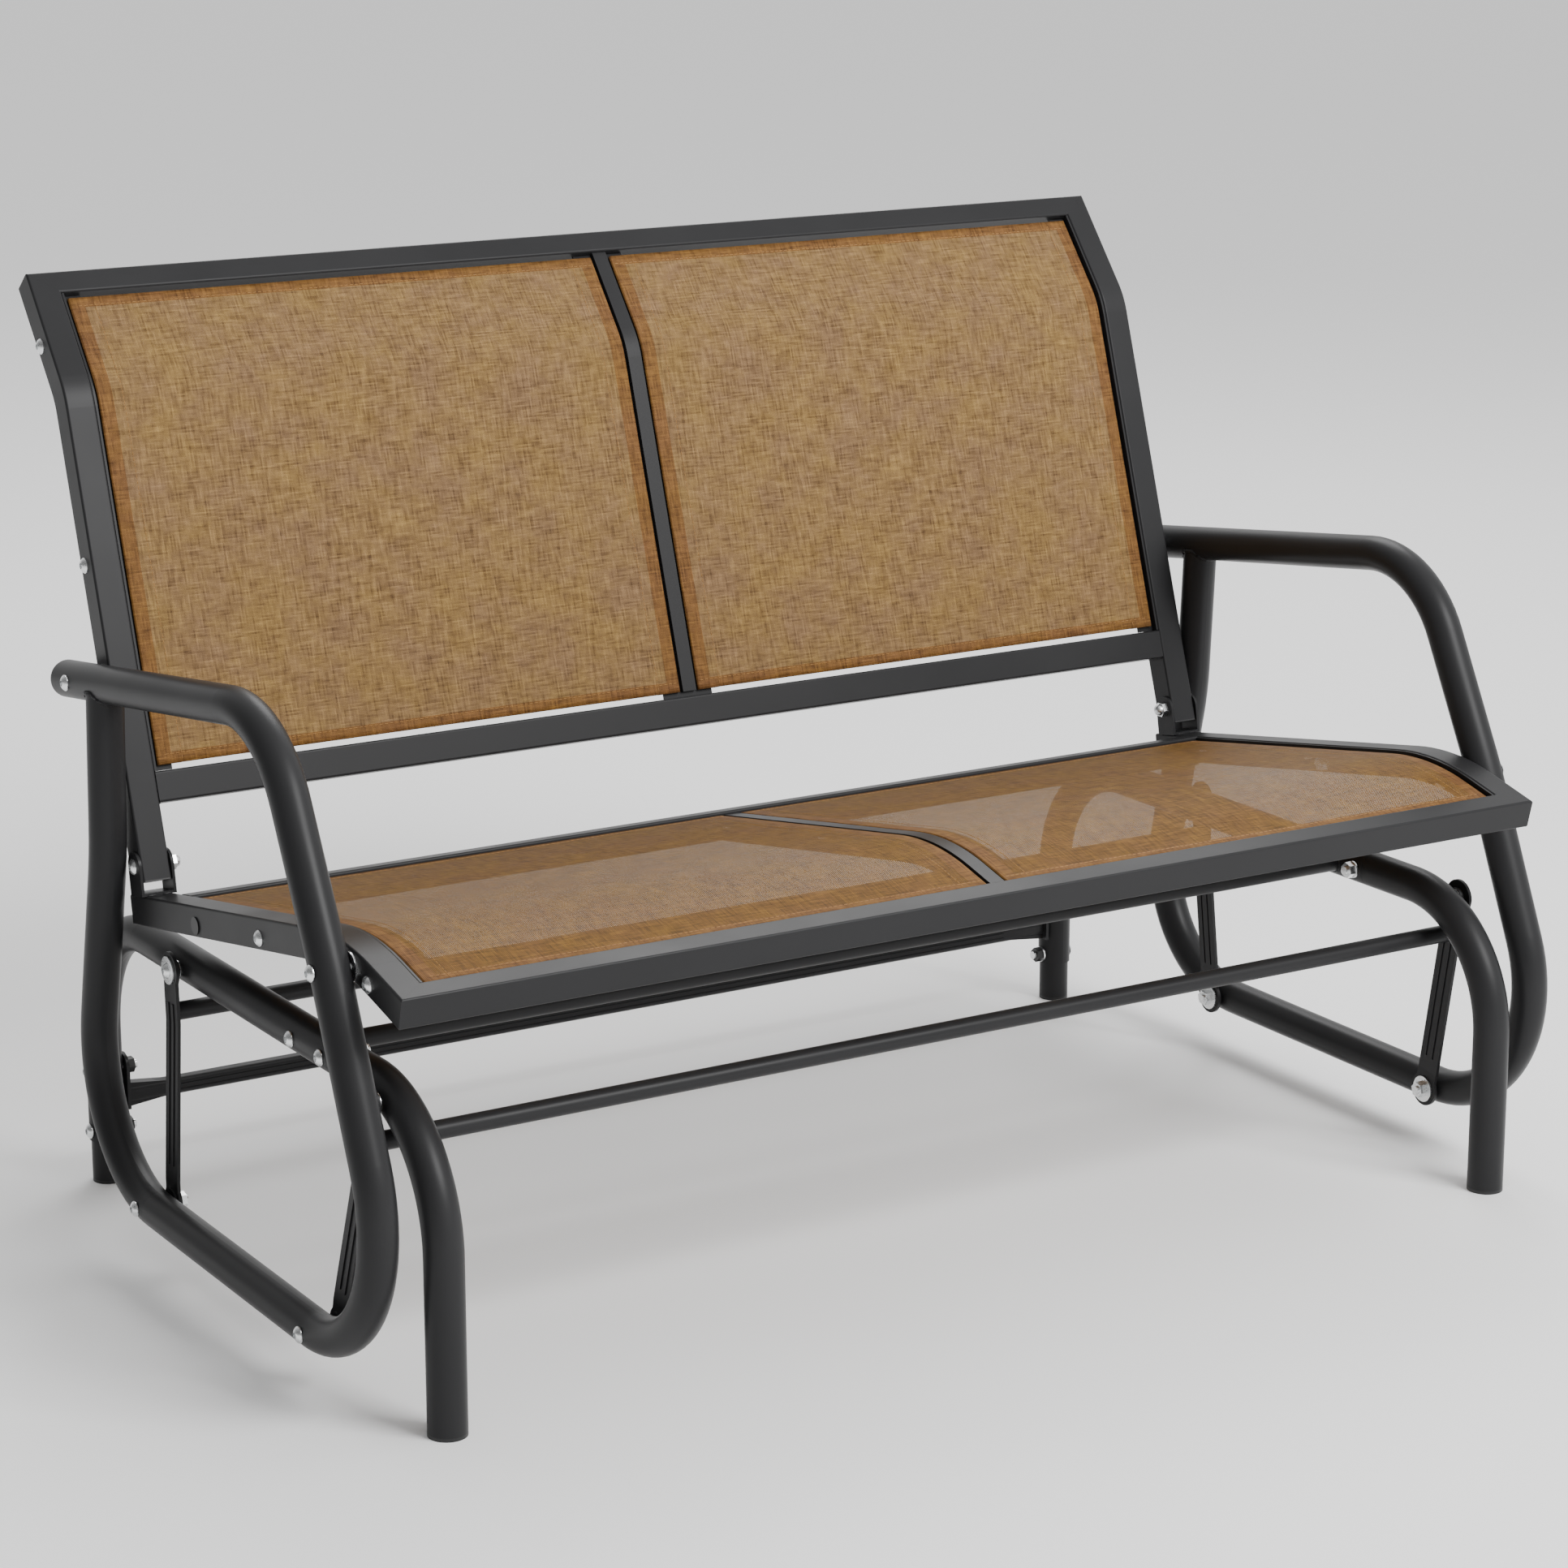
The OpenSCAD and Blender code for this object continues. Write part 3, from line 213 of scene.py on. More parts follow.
def powder_coated_steel():
    """Charcoal polyester powder baked on steel: satin, with the faint dimples of orange peel."""
    material, tree, shader = new_material("powder_coated_steel")
    place = add_node(tree, "ShaderNodeTexCoord").outputs["Object"]
    peel = add_node(tree, "ShaderNodeTexNoise", inputs={
        "Vector": place, "Scale": 1 / (PEEL * MM), "Detail": 2.0, "Roughness": 0.5})
    drift = add_node(tree, "ShaderNodeTexNoise", inputs={"Vector": place, "Scale": 9.0, "Detail": 3.0})
    shade = add_node(tree, "ShaderNodeMapRange", inputs={
        "Value": drift.outputs["Fac"],
        "From Min": 0.3, "From Max": 0.7, "To Min": 0.34, "To Max": 0.42})
    tone = add_node(tree, "ShaderNodeMix", {"data_type": "RGBA"}, {
        "Factor": drift.outputs["Fac"], "A": linear("#232324"), "B": linear("#29292a")})
    bump = add_node(tree, "ShaderNodeBump", inputs={
        "Height": peel.outputs["Fac"], "Distance": 0.05 * MM, "Strength": 0.35})
    tree.links.new(tone.outputs[2], shader.inputs["Base Color"])
    tree.links.new(shade.outputs["Result"], shader.inputs["Roughness"])
    tree.links.new(bump.outputs["Normal"], shader.inputs["Normal"])
    shader.inputs["Specular IOR Level"].default_value = 0.16
    return material


def zinc_plated_steel():
    """Bright zinc plating on forged bolts and turned washers: pale, a little uneven in gloss."""
    material, tree, shader = new_material("zinc_plated_steel")
    place = add_node(tree, "ShaderNodeTexCoord").outputs["Object"]
    grain = add_node(tree, "ShaderNodeTexNoise", inputs={
        "Vector": place, "Scale": 1 / (ZINC_GRAIN * MM), "Detail": 3.0})
    gloss = add_node(tree, "ShaderNodeMapRange", inputs={
        "Value": grain.outputs["Fac"], "To Min": 0.2, "To Max": 0.38})
    tone = add_node(tree, "ShaderNodeMix", {"data_type": "RGBA"}, {
        "Factor": grain.outputs["Fac"], "A": linear("#dfe1e2"), "B": linear("#f2f3f3")})
    tree.links.new(tone.outputs[2], shader.inputs["Base Color"])
    tree.links.new(gloss.outputs["Result"], shader.inputs["Roughness"])
    shader.inputs["Metallic"].default_value = 1.0
    return material


def galvanised_flat_bar():
    """Rolled flat bar with a dull hot-dip zinc coat, inside the hems: grey, faintly spangled."""
    material, tree, shader = new_material("galvanised_flat_bar")
    place = add_node(tree, "ShaderNodeTexCoord").outputs["Object"]
    spangle = add_node(tree, "ShaderNodeTexVoronoi", inputs={
        "Vector": place, "Scale": 1 / (SPANGLE * MM)})
    tone = add_node(tree, "ShaderNodeMix", {"data_type": "RGBA"}, {
        "Factor": spangle.outputs["Distance"], "A": linear("#8b8e90"), "B": linear("#a7aaab")})
    tree.links.new(tone.outputs[2], shader.inputs["Base Color"])
    shader.inputs["Metallic"].default_value = 1.0
    shader.inputs["Roughness"].default_value = 0.5
    return material


def moulded_polyethylene():
    """Black moulded polyethylene plugs: near black, with a fine spark-eroded grain."""
    material, tree, shader = new_material("moulded_polyethylene")
    place = add_node(tree, "ShaderNodeTexCoord").outputs["Object"]
    grain = add_node(tree, "ShaderNodeTexNoise", inputs={
        "Vector": place, "Scale": 1 / (SPARK_GRAIN * MM), "Detail": 2.0})
    bump = add_node(tree, "ShaderNodeBump", inputs={
        "Height": grain.outputs["Fac"], "Distance": 0.05 * MM, "Strength": 0.4})
    tone = add_node(tree, "ShaderNodeMix", {"data_type": "RGBA"}, {
        "Factor": grain.outputs["Fac"], "A": linear("#0e0e0f"), "B": linear("#141415")})
    tree.links.new(tone.outputs[2], shader.inputs["Base Color"])
    tree.links.new(bump.outputs["Normal"], shader.inputs["Normal"])
    shader.inputs["Roughness"].default_value = 0.42
    return material


def turned_nylon():
    """Black nylon bushes: waxy, with faint turning marks."""
    material, tree, shader = new_material("turned_nylon")
    place = add_node(tree, "ShaderNodeTexCoord").outputs["Object"]
    marks = add_node(tree, "ShaderNodeTexNoise", inputs={
        "Vector": place, "Scale": 1 / (TURNING * MM), "Detail": 2.0})
    tone = add_node(tree, "ShaderNodeMix", {"data_type": "RGBA"}, {
        "Factor": marks.outputs["Fac"], "A": linear("#171718"), "B": linear("#202022")})
    tree.links.new(tone.outputs[2], shader.inputs["Base Color"])
    shader.inputs["Roughness"].default_value = 0.42
    return material


YARN_PITCH = 1.5    # real yarns lie 1 mm apart; drawn this coarse so that single yarns still show
SLUB = 30           # usual length of one thick or thin stretch of yarn
DYE_LOT = 60        # size of the patches where golden or brown yarns are more common


def sling_cloth(name, golden, brown, holes):
    """Woven PVC-coated polyester, golden and brown yarns mixed at random. Every yarn is thick and
    thin by turns, which shows as short streaks both ways. Holes is how wide the gaps between the
    yarns are, from 0 where nothing but white or a second layer lies behind the cloth."""
    material, tree, shader = new_material(name)
    place = add_node(tree, "ShaderNodeUVMap", {"uv_map": "yarns"}).outputs["UV"]
    split = add_node(tree, "ShaderNodeSeparateXYZ", inputs={"Vector": place})
    streaks, ridges = [], []
    for across, along in (("X", "Y"), ("Y", "X")):
        count = add_node(tree, "ShaderNodeMath", {"operation": "DIVIDE"}, {
            0: split.outputs[across], 1: YARN_PITCH}).outputs[0]
        yarn = add_node(tree, "ShaderNodeMath", {"operation": "ROUND"}, {0: count}).outputs[0]
        chance = add_node(tree, "ShaderNodeTexWhiteNoise", {"noise_dimensions": "1D"}, {"W": yarn})
        run = add_node(tree, "ShaderNodeMath", {"operation": "MULTIPLY_ADD"}, {
            0: chance.outputs["Value"], 1: 900.0, 2: split.outputs[along]}).outputs[0]
        thick = add_node(tree, "ShaderNodeTexNoise", {"noise_dimensions": "1D"}, {
            "W": run, "Scale": 1 / SLUB, "Detail": 2.0, "Roughness": 0.55})
        turns = add_node(tree, "ShaderNodeMath", {"operation": "MULTIPLY"}, {0: count, 1: 2 * math.pi})
        ridge = add_node(tree, "ShaderNodeMath", {"operation": "COSINE"}, {0: turns.outputs[0]})
        streaks.append(thick.outputs["Fac"])
        ridges.append(ridge.outputs[0])
    both = add_node(tree, "ShaderNodeMath", {"operation": "ADD"}, {0: streaks[0], 1: streaks[1]})
    slub = add_node(tree, "ShaderNodeMapRange", inputs={
        "Value": both.outputs[0], "From Min": 0.45, "From Max": 1.55}).outputs["Result"]
    drift = add_node(tree, "ShaderNodeTexNoise", inputs={
        "Vector": place, "Scale": 1 / DYE_LOT, "Detail": 4.0, "Roughness": 0.7}).outputs["Fac"]
    hue = add_node(tree, "ShaderNodeMapRange", inputs={
        "Value": drift, "From Min": 0.36, "From Max": 0.64}).outputs["Result"]
    mixes = [add_node(tree, "ShaderNodeMix", {"data_type": "RGBA"}, {
        "Factor": slub, "A": linear(dark), "B": linear(light)}).outputs[2]
        for dark, light in (golden, brown)]
    colour = add_node(tree, "ShaderNodeMix", {"data_type": "RGBA"}, {
        "Factor": hue, "A": mixes[0], "B": mixes[1]})
    weave = add_node(tree, "ShaderNodeMath", {"operation": "MAXIMUM"}, {
        0: ridges[0], 1: ridges[1]}).outputs[0]
    bump = add_node(tree, "ShaderNodeBump", inputs={
        "Height": weave, "Distance": 0.2 * MM, "Strength": 0.5})
    if holes:
        # Minus 1 is the middle of a gap. It shows once, on the face that is looked at; the
        # face behind lets all through.
        shut = add_node(tree, "ShaderNodeMapRange", inputs={
            "Value": weave, "From Min": holes - 1.15, "From Max": holes - 0.85}).outputs["Result"]
        inside = add_node(tree, "ShaderNodeNewGeometry").outputs["Backfacing"]
        seen = add_node(tree, "ShaderNodeMath", {"operation": "SUBTRACT", "use_clamp": True}, {
            0: shut, 1: inside})
        tree.links.new(seen.outputs[0], shader.inputs["Alpha"])
    tree.links.new(colour.outputs[2], shader.inputs["Base Color"])
    tree.links.new(bump.outputs["Normal"], shader.inputs["Normal"])
    shader.inputs["Roughness"].default_value = 0.6
    shader.inputs["Specular IOR Level"].default_value = 0.14
    return material


def bonded_thread():
    """Bonded polyester sewing thread: twisted, close to the yarns in colour."""
    material, tree, shader = new_material("bonded_thread")
    place = add_node(tree, "ShaderNodeTexCoord").outputs["Object"]
    twist = add_node(tree, "ShaderNodeTexNoise", inputs={"Vector": place, "Scale": 1 / (TWIST * MM)})
    tone = add_node(tree, "ShaderNodeMix", {"data_type": "RGBA"}, {
        "Factor": twist.outputs["Fac"], "A": linear("#7a5222"), "B": linear("#a97c3e")})
    tree.links.new(tone.outputs[2], shader.inputs["Base Color"])
    shader.inputs["Roughness"].default_value = 0.55
    return material


STEEL = powder_coated_steel()
# The seat's cloth has open gaps, through which the tubes under it show. The back has only the
# pale room behind it, so its gaps are drawn shut and its yarns painted paler than the real cloth:
# painted light, for the room's light between them.
SEAT_CLOTH = sling_cloth("woven_sling_open", ("#40290b", "#886325"), ("#40280f", "#805b2d"), 0.26)
BACK_CLOTH_PAINTED_LIGHT = sling_cloth("woven_sling_painted_light", ("#4f371a", "#9c7d4a"), ("#4c3620", "#937452"), 0)
HEM_CLOTH = sling_cloth("woven_sling_doubled", ("#482d10", "#8c6532"), ("#452b13", "#855d36"), 0)
THREAD = bonded_thread()
FINISHES = {
    "coated_steel": STEEL,
    "zinc_steel": zinc_plated_steel(),
    "strip_steel": galvanised_flat_bar(),
    "black_plastic": moulded_polyethylene(),
    "nylon": turned_nylon(),
    "sling_fabric": SEAT_CLOTH,
}
SHARP_EDGE = math.radians(32)
FOOT_NUTS_TOP = 120     # the nuts of the foot bolts and of the rear bar's bolts lie lower


def finish_cad_nodes():
    """Gives every CAD node the finish of its slot, and smooth shading that keeps its real edges."""
    for row in frame["record"]["subparts"]:
        node = frame["nodes"][row["node"]]
        node.data.materials.clear()
        node.data.materials.append(FINISHES[row["material_slot"]])
        for face in node.data.polygons:
            face.use_smooth = True
        node.data.set_sharp_from_angle(angle=SHARP_EDGE)


def blacken_foot_nuts():
    """The nuts at the rear feet are black, where the base's other nuts are zinc plated."""
    nuts = frame["nodes"]["base_nuts"].data
    nuts.materials.append(FINISHES["black_plastic"])
    for face in nuts.polygons:
        if face.center.z < FOOT_NUTS_TOP * MM:
            face.material_index = 1


finish_cad_nodes()
blacken_foot_nuts()


# Making pieces
def new_piece(name, mesh_data, finish, body):
    """A piece from (points, faces) in millimetres, riding on a CAD body."""
    points, faces = mesh_data
    mesh = bpy.data.meshes.new(name)
    mesh.from_pydata([Vector(p) * MM for p in points], [], faces)
    mesh.materials.append(finish)
    for face in mesh.polygons:
        face.use_smooth = True
    piece = bpy.data.objects.new(name, mesh)
    bpy.context.scene.collection.objects.link(piece)
    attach(piece, body)
    return piece


def joined(parts):
    """Several (points, faces) as one."""
    points, faces = [], []
    for more_points, more_faces in parts:
        first = len(points)
        points += more_points
        faces += [[first + i for i in face] for face in more_faces]
    return points, faces


def grid(rows):
    """Faces between rows of points of one length."""
    wide = len(rows[0])
    faces = [[r * wide + c, r * wide + c + 1, (r + 1) * wide + c + 1, (r + 1) * wide + c]
             for r in range(len(rows) - 1) for c in range(wide - 1)]
    return [p for row in rows for p in row], faces


# Slings
SAG = 2.2
FOLD_R = 1.7        # the hem turns round the strip's edge on this radius
UNDER = 22          # width of the layer sewn under the strip
HEM = 10            # width of the hems along the free edges
SIDE_BAND = 13.5    # the side hems show this wide
COLUMNS = 22        # across half a sling
STITCH_LONG, STITCH_GAP, STITCH_R = 3.6, 5.0, 0.32


def sag_at(x, s, ends):
    """How far the cloth hangs below the line of its strips: most in the middle, none at the edges."""
    share = min(max((x - CLOTH_IN) / (CLOTH_OUT - CLOTH_IN), 0), 1)
    lift = math.sin(math.pi * min(max((s - ends[0]) / (ends[1] - ends[0]), 0), 1))
    return SAG * lift ** 0.5 * math.sin(math.pi * share) ** 1.5


def sling_profile():
    """(x, depth, yarn coordinate) across a sling: under one strip, over the top, under the other."""
    low = CLOTH_DEPTH + CLOTH_T / 2
    under_x = [CLOTH_OUT - CLOTH_T - UNDER + i * (UNDER - FOLD_R) / 5 for i in range(6)]
    half = [(x, low + 2 * FOLD_R) for x in under_x]
    edge = CLOTH_OUT - CLOTH_T / 2 - FOLD_R
    half += [(edge + FOLD_R * math.sin(a), low + FOLD_R + FOLD_R * math.cos(a))
             for a in (math.pi * k / 8 for k in range(1, 8))]
    middle = (CLOTH_IN + CLOTH_OUT) / 2
    columns = [edge, CLOTH_OUT - SIDE_BAND / 2, CLOTH_OUT - SIDE_BAND,
               CLOTH_OUT - STRIP_W - 1, CLOTH_OUT - UNDER - 2]
    columns += [columns[-1] + (middle - columns[-1]) * i / COLUMNS for i in range(1, COLUMNS + 1)]
    top = [(x, low) for x in columns]
    right = half + top
    left = [(2 * middle - x, depth) for x, depth in reversed(right[:-1])]
    profile, run = [], 0.0
    last = None
    for x, depth in right + left:
        if last:
            run += math.dist(last, (x, depth))
        profile.append((x, depth, run))
        last = (x, depth)
    return profile


def stations(face, ends, step=6):
    """Distances along the face, closer together in the bend and at the hems."""
    out, s = [ends[0], ends[0] + HEM / 2], ends[0] + HEM
    while s < ends[1] - HEM - 1:
        out.append(s)
        near = abs(s - face.bend_at) < face.trim + step
        s += min(step, face.trim / 8) if near else 2 * step
    return out + [ends[1] - HEM, ends[1] - HEM / 2, ends[1]]


def make_sling(name, face, ends, side, node, finish):
    """One sling with its four hems and stitching, on the right (side 1) or left (side -1)."""
    profile = sling_profile()
    lengths = stations(face, ends)
    rows, yarns = [], []
    for s in lengths:
        row = []
        for x, depth, run in profile:
            y, z = face.at(s, depth + sag_at(x, s, ends))
            row.append((side * x, y, z))
            yarns.append((run, s))
        rows.append(row)
    points, faces = grid(rows)
    piece = new_piece(name, (points, faces), finish, "carriage")
    set_yarns(piece, yarns)
    mark_hems(piece, rows, faces, ends, lengths, len(profile))
    thicken(piece, CLOTH_T)
    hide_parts(node)
    length = sum(math.dist(face.at(a, CLOTH_DEPTH), face.at(b, CLOTH_DEPTH))
                 for a, b in zip(lengths, lengths[1:]))
    hems = make_end_hems(name + "_hems", face, ends, side)
    seams = make_stitches(name + "_stitches", face, ends, side)


def mark_hems(piece, rows, faces, ends, lengths, wide):
    """Deeper colour where the cloth is double, along the side hems and at the free edges."""
    piece.data.materials.append(HEM_CLOTH)
    for face, corners in zip(piece.data.polygons, faces):
        row, column = divmod(corners[0], wide)
        x = sum(abs(rows[0][c][0]) for c in (column, column + 1)) / 2
        s = (lengths[row] + lengths[row + 1]) / 2
        edge = min(x - CLOTH_IN, CLOTH_OUT - x)
        if edge < SIDE_BAND or min(s - ends[0], ends[1] - s) < HEM:
            face.material_index = 1


def set_yarns(piece, yarns):
    """UVs in millimetres along weft and warp, so the weave follows the cloth."""
    layer = piece.data.uv_layers.new(name="yarns")
    for loop in piece.data.loops:
        layer.data[loop.index].uv = yarns[loop.vertex_index]


def thicken(piece, thickness):
    """Gives a single layer its thickness, half to each side."""
    solid = piece.modifiers.new("thickness", "SOLIDIFY")
    solid.thickness = thickness * MM
    solid.offset = 0


def make_end_hems(name, face, ends, side):
    """The free edges, turned under and sewn: a second layer just behind the first. It starts a
    hair inside the edge and ends where the side hems begin, and its weave is a little off."""
    depth = CLOTH_DEPTH + 1.45 * CLOTH_T + 0.1
    inset, across, deep, hair, off = 24, 26, 4, 0.3, 7
    parts, yarns = [], []
    for end, inward in ((ends[0], 1), (ends[1], -1)):
        rows = []
        for k in range(deep + 1):
            s = end + inward * (hair + k * (HEM - hair) / deep)
            row = []
            for i in range(across + 1):
                x = CLOTH_IN + inset + (CLOTH_OUT - CLOTH_IN - 2 * inset) * i / across
                y, z = face.at(s, depth + sag_at(x, s, ends))
                row.append((side * x, y, z))
                yarns.append((x + off, s))
            rows.append(row)
        parts.append(grid(rows))
    piece = new_piece(name, joined(parts), HEM_CLOTH, "carriage")
    set_yarns(piece, yarns)
    thicken(piece, CLOTH_T)
    return piece


def stitch(a, b, lift):
    """A low rounded stitch from a to b, standing up along lift."""
    along = (b - a).normalized()
    across = along.cross(lift).normalized()
    rings = []
    for share, size in ((0, 0.35), (0.15, 1), (0.85, 1), (1, 0.35)):
        centre = a.lerp(b, share)
        rings.append([tuple(centre + STITCH_R * size * (math.cos(t) * across + math.sin(t) * lift))
                      for t in (2 * math.pi * k / 6 for k in range(7))])
    return grid(rings)


def make_stitches(name, face, ends, side):
    """Lockstitch rows: one along each side hem and one along each free edge."""
    parts = []
    start, stop, hem_row = 3, 6, HEM - 1.5

    def on_cloth(x, s):
        """A point on the cloth's face, and the way out of it."""
        sag = sag_at(x, s, ends)
        y, z = face.at(s, CLOTH_DEPTH + sag)
        y2, z2 = face.at(s, CLOTH_DEPTH + sag - 1)
        return Vector((side * x, y, z)), Vector((0, y2 - y, z2 - z))

    for x in (CLOTH_IN + UNDER + 1, CLOTH_OUT - UNDER - 1):
        s = ends[0] + start
        while s < ends[1] - stop:
            a, up = on_cloth(x, s)
            b, _ = on_cloth(x, s + STITCH_LONG)
            parts.append(stitch(a, b, up))
            s += STITCH_GAP
    for s in (ends[0] + hem_row, ends[1] - hem_row):
        x = CLOTH_IN + start
        while x < CLOTH_OUT - stop:
            a, up = on_cloth(x, s)
            b, _ = on_cloth(x + STITCH_LONG, s)
            parts.append(stitch(a, b, up))
            x += STITCH_GAP
    piece = new_piece(name, joined(parts), THREAD, "carriage")
    return piece


for side, word in ((-1, "left"), (1, "right")):
    make_sling("sling_seat_" + word, SEAT, SEAT_ENDS, side, "seat_sling_" + word, SEAT_CLOTH)
    make_sling("sling_back_" + word, BACK, BACK_ENDS, side, "back_sling_" + word, BACK_CLOTH_PAINTED_LIGHT)


# Welds
WELD_STEP = 1.2     # from one ripple's side to the next
# Half widths of the beads
TIE_BEAD, BAR_BEAD, RAIL_BEAD, CENTRE_BEAD, BRACKET_BEAD, RISER_BEAD = 1.3, 1.4, 1.0, 0.9, 1.1, 1.7
CENTRE_HALF, CENTRE_TOP, CENTRE_STEPS = 10.2, 10.5, 13      # sides of a centre bar's box
EARS = (8.1, 33.1)                  # where a bracket's base starts and ends, along the seat
EAR_FROM, EAR_TO = 2.2, 10.2        # its beads, in from the rail's sides


def bead(path, size, closed, seed):
    """A weld bead along points, with the ripples that the puddle leaves."""
    rng = random.Random(seed)
    count = len(path)
    rings = []
    for i, p in enumerate(path):
        before = path[i - 1] if i or closed else p
        after = path[(i + 1) % count] if i < count - 1 or closed else p
        along = (after - before).normalized()
        side = along.orthogonal().normalized()
        up = along.cross(side)
        swell = size * (1 + 0.16 * math.sin(i * 2.4) + 0.08 * rng.uniform(-1, 1))
        if not closed and i in (0, count - 1):
            swell *= 0.4
        rings.append([tuple(p + swell * (math.cos(t) * side + math.sin(t) * up))
                      for t in (2 * math.pi * k / 8 for k in range(9))])
    if closed:
        rings.append(rings[0])
    return grid(rings)


def weld(name, parts, body):
    """A piece of weld beads in the frame's own coat."""
    new_piece(name, joined(parts), STEEL, body)


def line(a, b):
    """Points from a to b."""
    count = max(3, int((b - a).length / WELD_STEP))
    return [a.lerp(b, i / count) for i in range(count + 1)]


def ring_path(centre, radius, count=44, saddle=None):
    """Points round the X axis through centre. saddle(z offset) shifts each one along X."""
    out = []
    for k in range(count):
        t = 2 * math.pi * k / count
        y, z = radius * math.cos(t), radius * math.sin(t)
        out.append(Vector((centre[0] + (saddle(z) if saddle else 0), centre[1] + y, centre[2] + z)))
    return out


def tie_welds(name, body, upper, lean):
    """Round the ends of a tie bar, on the links' inner faces."""
    x = LINK_IN - 0.6
    y, z = upper.x + TIE_DROP * math.sin(lean), upper.y - TIE_DROP * math.cos(lean)
    weld(name, [bead(ring_path((s * x, y, z), BAR_R + 0.5), TIE_BEAD, True, 3 + s)
                for s in (-1, 1)], body)


def middle_bar_welds():
    """Round the ends of the middle bar, where it meets the base tubes."""
    parts = []
    x = BASE_X - TUBE_R - 0.3
    for s in (-1, 1):
        def saddle(z, s=s):
            return s * (TUBE_R - math.sqrt(TUBE_R ** 2 - z * z))
        path = ring_path((s * x, MIDDLE_BAR_Y, BASE_H), BAR_R + 0.6, saddle=saddle)
        parts.append(bead(path, BAR_BEAD, True, 11 + s))
    weld("middle_bar_welds", parts, "base")


def on_face(face, x, s, depth):
    """The point this far along a face and under it, at x."""
    y, z = face.at(s, depth)
    return Vector((x, y, z))


def cross_rail_welds(name, face, s_low, width, half):
    """Fillets where a cross rail butts on the side rails: above, below and behind."""
    parts = []
    for s in (-1, 1):
        x = s * (half - 0.5)
        for k, at in enumerate((s_low - 0.2, s_low + width + 0.2)):
            path = [on_face(face, x, at, 1.5 + d * WELD_STEP)
                    for d in range(int((RAIL_D - 3) / WELD_STEP) + 1)]
            parts.append(bead(path, RAIL_BEAD, False, 21 + k + s))
        path = [on_face(face, x, s_low + 1 + d * WELD_STEP, RAIL_D + 0.2)
                for d in range(int((width - 2) / WELD_STEP) + 1)]
        parts.append(bead(path, RAIL_BEAD, False, 31 + s))
    weld(name, parts, "carriage")


def centre_bar_welds():
    """Where the centre bars' boxes meet the cross rails."""
    parts = []
    for face, ends in ((SEAT, (REAR_RAIL_S + REAR_RAIL_W, SEAT_LEN - CROSS_W)),
                       (BACK, (LOW_RAIL_S + LOW_RAIL_W, BACK_LEN - CROSS_W))):
        for at, push in ((ends[0], 0.4), (ends[1], -0.4)):
            for x in (-CENTRE_HALF, CENTRE_HALF):
                path = [on_face(face, x, at + push, CENTRE_TOP + d * WELD_STEP)
                        for d in range(CENTRE_STEPS)]
                parts.append(bead(path, CENTRE_BEAD, False, 41 + len(parts)))
    weld("centre_bar_welds", parts, "carriage")


def bracket_welds():
    """Along the brackets' bases, on the seat rails."""
    parts = []
    for s in (-1, 1):
        for x, end_x in ((RAIL_IN + EAR_FROM, RAIL_IN + EAR_TO),
                         (SEAT_HALF - EAR_FROM, SEAT_HALF - EAR_TO)):
            for at in EARS:
                path = line(on_face(SEAT, s * x, at, -0.5), on_face(SEAT, s * end_x, at, -0.5))
                parts.append(bead(path, BRACKET_BEAD, False, 61 + len(parts)))
    weld("bracket_welds", parts, "carriage")


def riser_welds():
    """Round the top of each riser, under the armrest."""
    arm_end = SEAT.at(0, 0) + Vector((ARM_TAIL, ARM_RISE))
    foot = SEAT.at(0, 0) + Vector(RISER_BEND)
    top_y = foot.x - RISER_LEAN * RISER_TALL
    axis_z = arm_end.y + (arm_end.x - top_y) * math.tan(ARM_SLOPE)
    parts = []
    for s in (-1, 1):
        path = []
        for k in range(72):
            t = 2 * math.pi * k / 72
            x, y = (TUBE_R + 0.3) * math.cos(t), (TUBE_R + 0.3) * math.sin(t)
            drop = math.sqrt(max(TUBE_R ** 2 - min(x * x, (TUBE_R - 1.2) ** 2), 0))
            z = axis_z - y * math.tan(ARM_SLOPE) - drop / math.cos(ARM_SLOPE)
            path.append(Vector((s * ARM_X + x, top_y + y, z)))
        parts.append(bead(path, RISER_BEAD, True, 71 + s))
    weld("riser_welds", parts, "carriage")


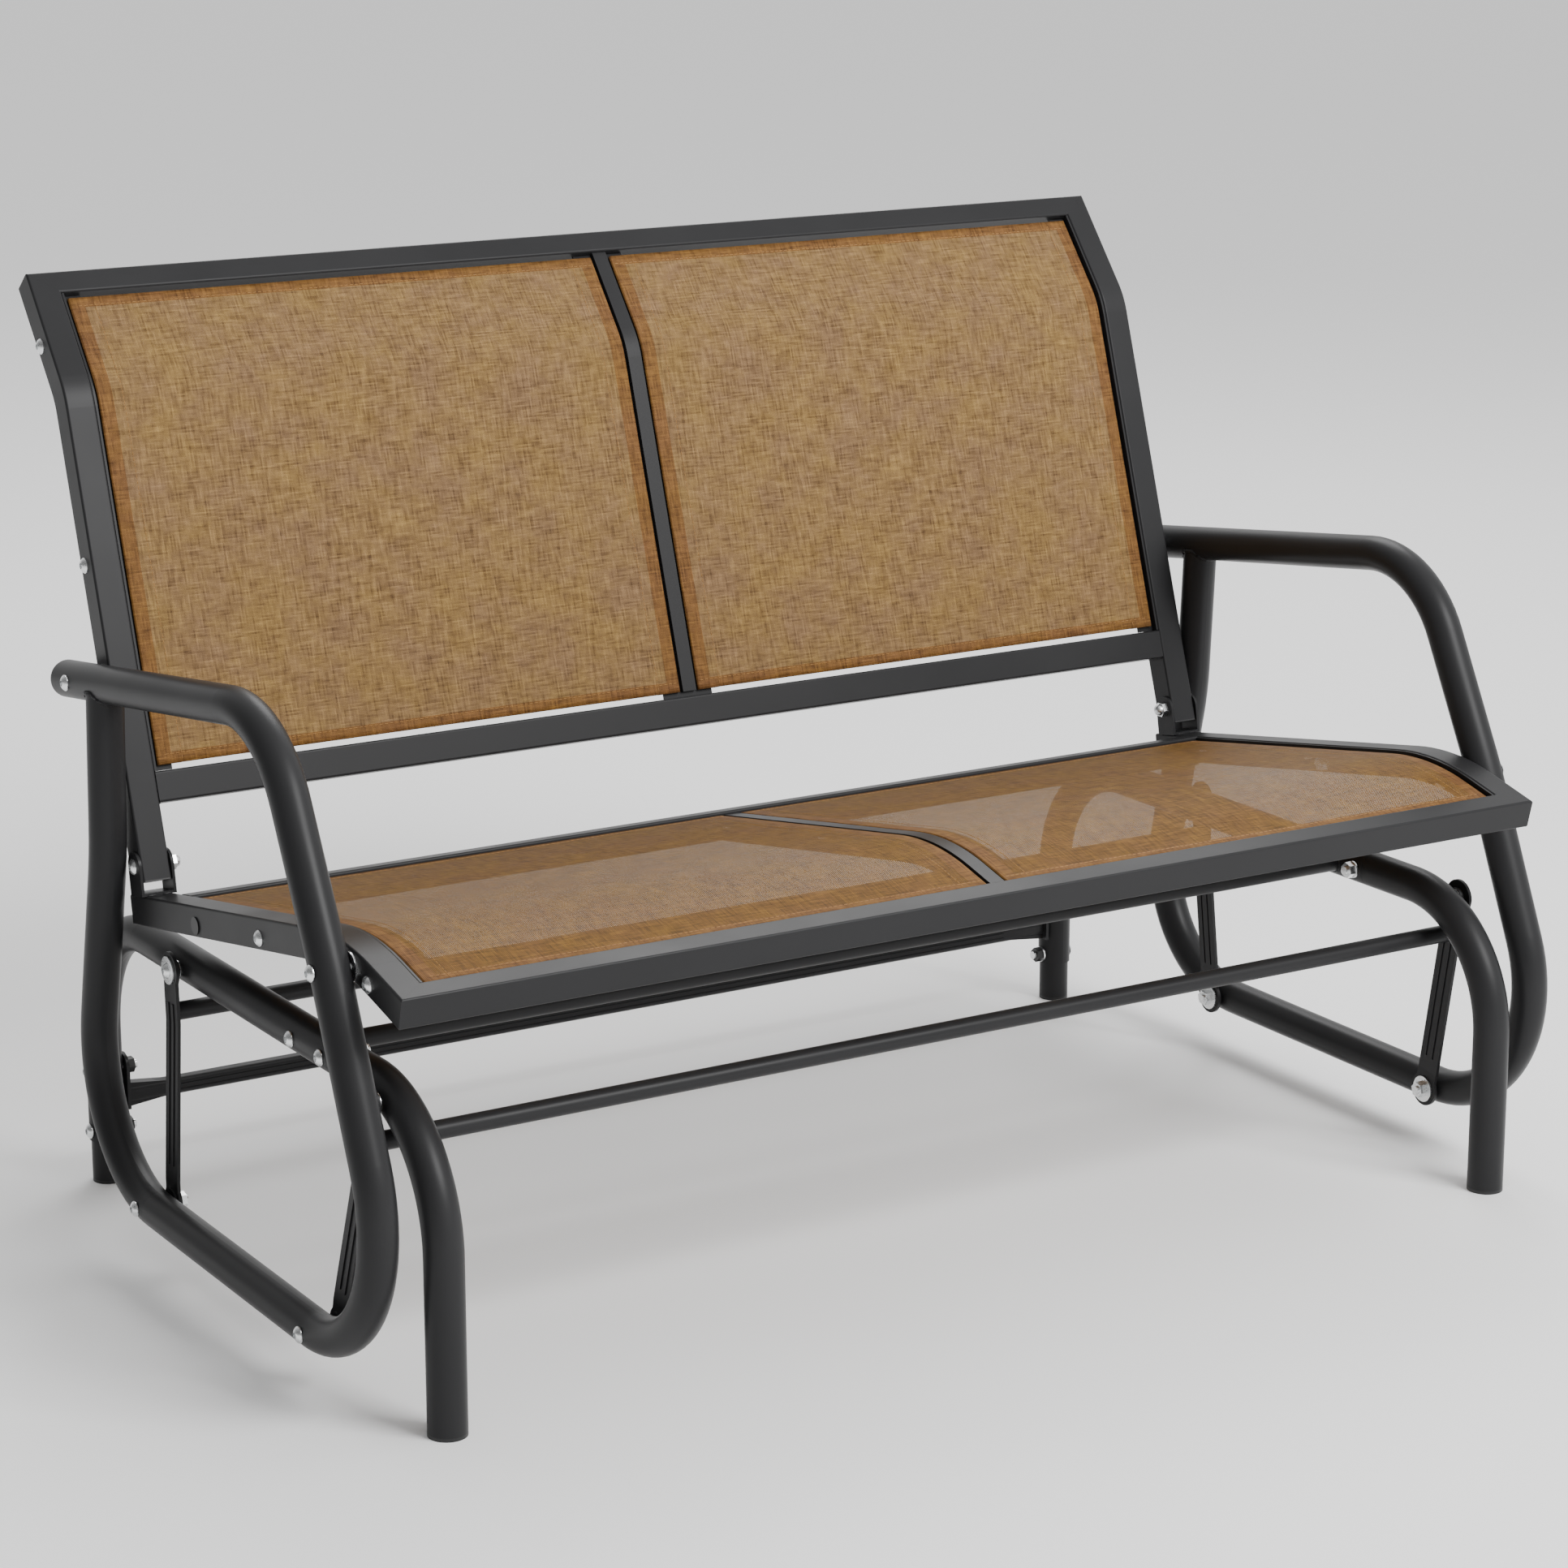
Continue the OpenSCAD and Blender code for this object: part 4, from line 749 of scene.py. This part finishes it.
tie_welds("rear_tie_welds", "rear_swing", REAR_UP, -REAR_LEAN)
tie_welds("front_tie_welds", "front_swing", FRONT_UP, FRONT_LEAN)
middle_bar_welds()
cross_rail_welds("rear_rail_welds", SEAT, REAR_RAIL_S, REAR_RAIL_W, RAIL_IN)
cross_rail_welds("lower_rail_welds", BACK, LOW_RAIL_S, LOW_RAIL_W, RAIL_IN)
centre_bar_welds()
bracket_welds()
riser_welds()


# Floor and light, in metres and watts
FLOOR_REACH = 40
SOFT_BOXES = (("key", (1.2, -3.3, 3.3), 220), ("rim", (1.8, 2.4, 3.4), 70))
BOX_SIZE = 2.0
AIM = (0, 0, 0.4)       # the seat's middle


def pale_floor():
    """White painted floor, far enough out to fill the view."""
    material, _, shader = new_material("pale_floor")
    shader.inputs["Base Color"].default_value = linear("#fbfbfb")
    shader.inputs["Roughness"].default_value = 0.9
    mesh = bpy.data.meshes.new("floor")
    corners = [(x * FLOOR_REACH, y * FLOOR_REACH, 0) for x, y in ((-1, -1), (1, -1), (1, 1), (-1, 1))]
    mesh.from_pydata(corners, [], [[0, 1, 2, 3]])
    mesh.materials.append(material)
    floor = bpy.data.objects.new("floor", mesh)
    bpy.context.scene.collection.objects.link(floor)


def studio_light():
    """A white room, dimmer towards the left-hand end, with two large soft boxes."""
    world = bpy.data.worlds.new("studio")
    world.use_nodes = True
    tree = world.node_tree
    toward = add_node(tree, "ShaderNodeTexCoord").outputs["Generated"]
    split = add_node(tree, "ShaderNodeSeparateXYZ", inputs={"Vector": toward})
    white = add_node(tree, "ShaderNodeMapRange", {"interpolation_type": "SMOOTHSTEP"}, {
        "Value": split.outputs["X"], "From Min": -0.9, "From Max": 0.1, "To Min": 0.2, "To Max": 1.15})
    tree.links.new(white.outputs["Result"], tree.nodes["Background"].inputs["Strength"])
    tree.nodes["Background"].inputs["Color"].default_value = (1, 1, 1, 1)
    bpy.context.scene.world = world
    for name, place, power in SOFT_BOXES:
        lamp = bpy.data.lights.new(name, "AREA")
        lamp.size = BOX_SIZE
        lamp.energy = power
        light = bpy.data.objects.new(name, lamp)
        light.location = place
        aim = Vector(AIM) - Vector(place)
        light.rotation_euler = aim.to_track_quat("-Z", "Y").to_euler()
        bpy.context.scene.collection.objects.link(light)


pale_floor()
studio_light()
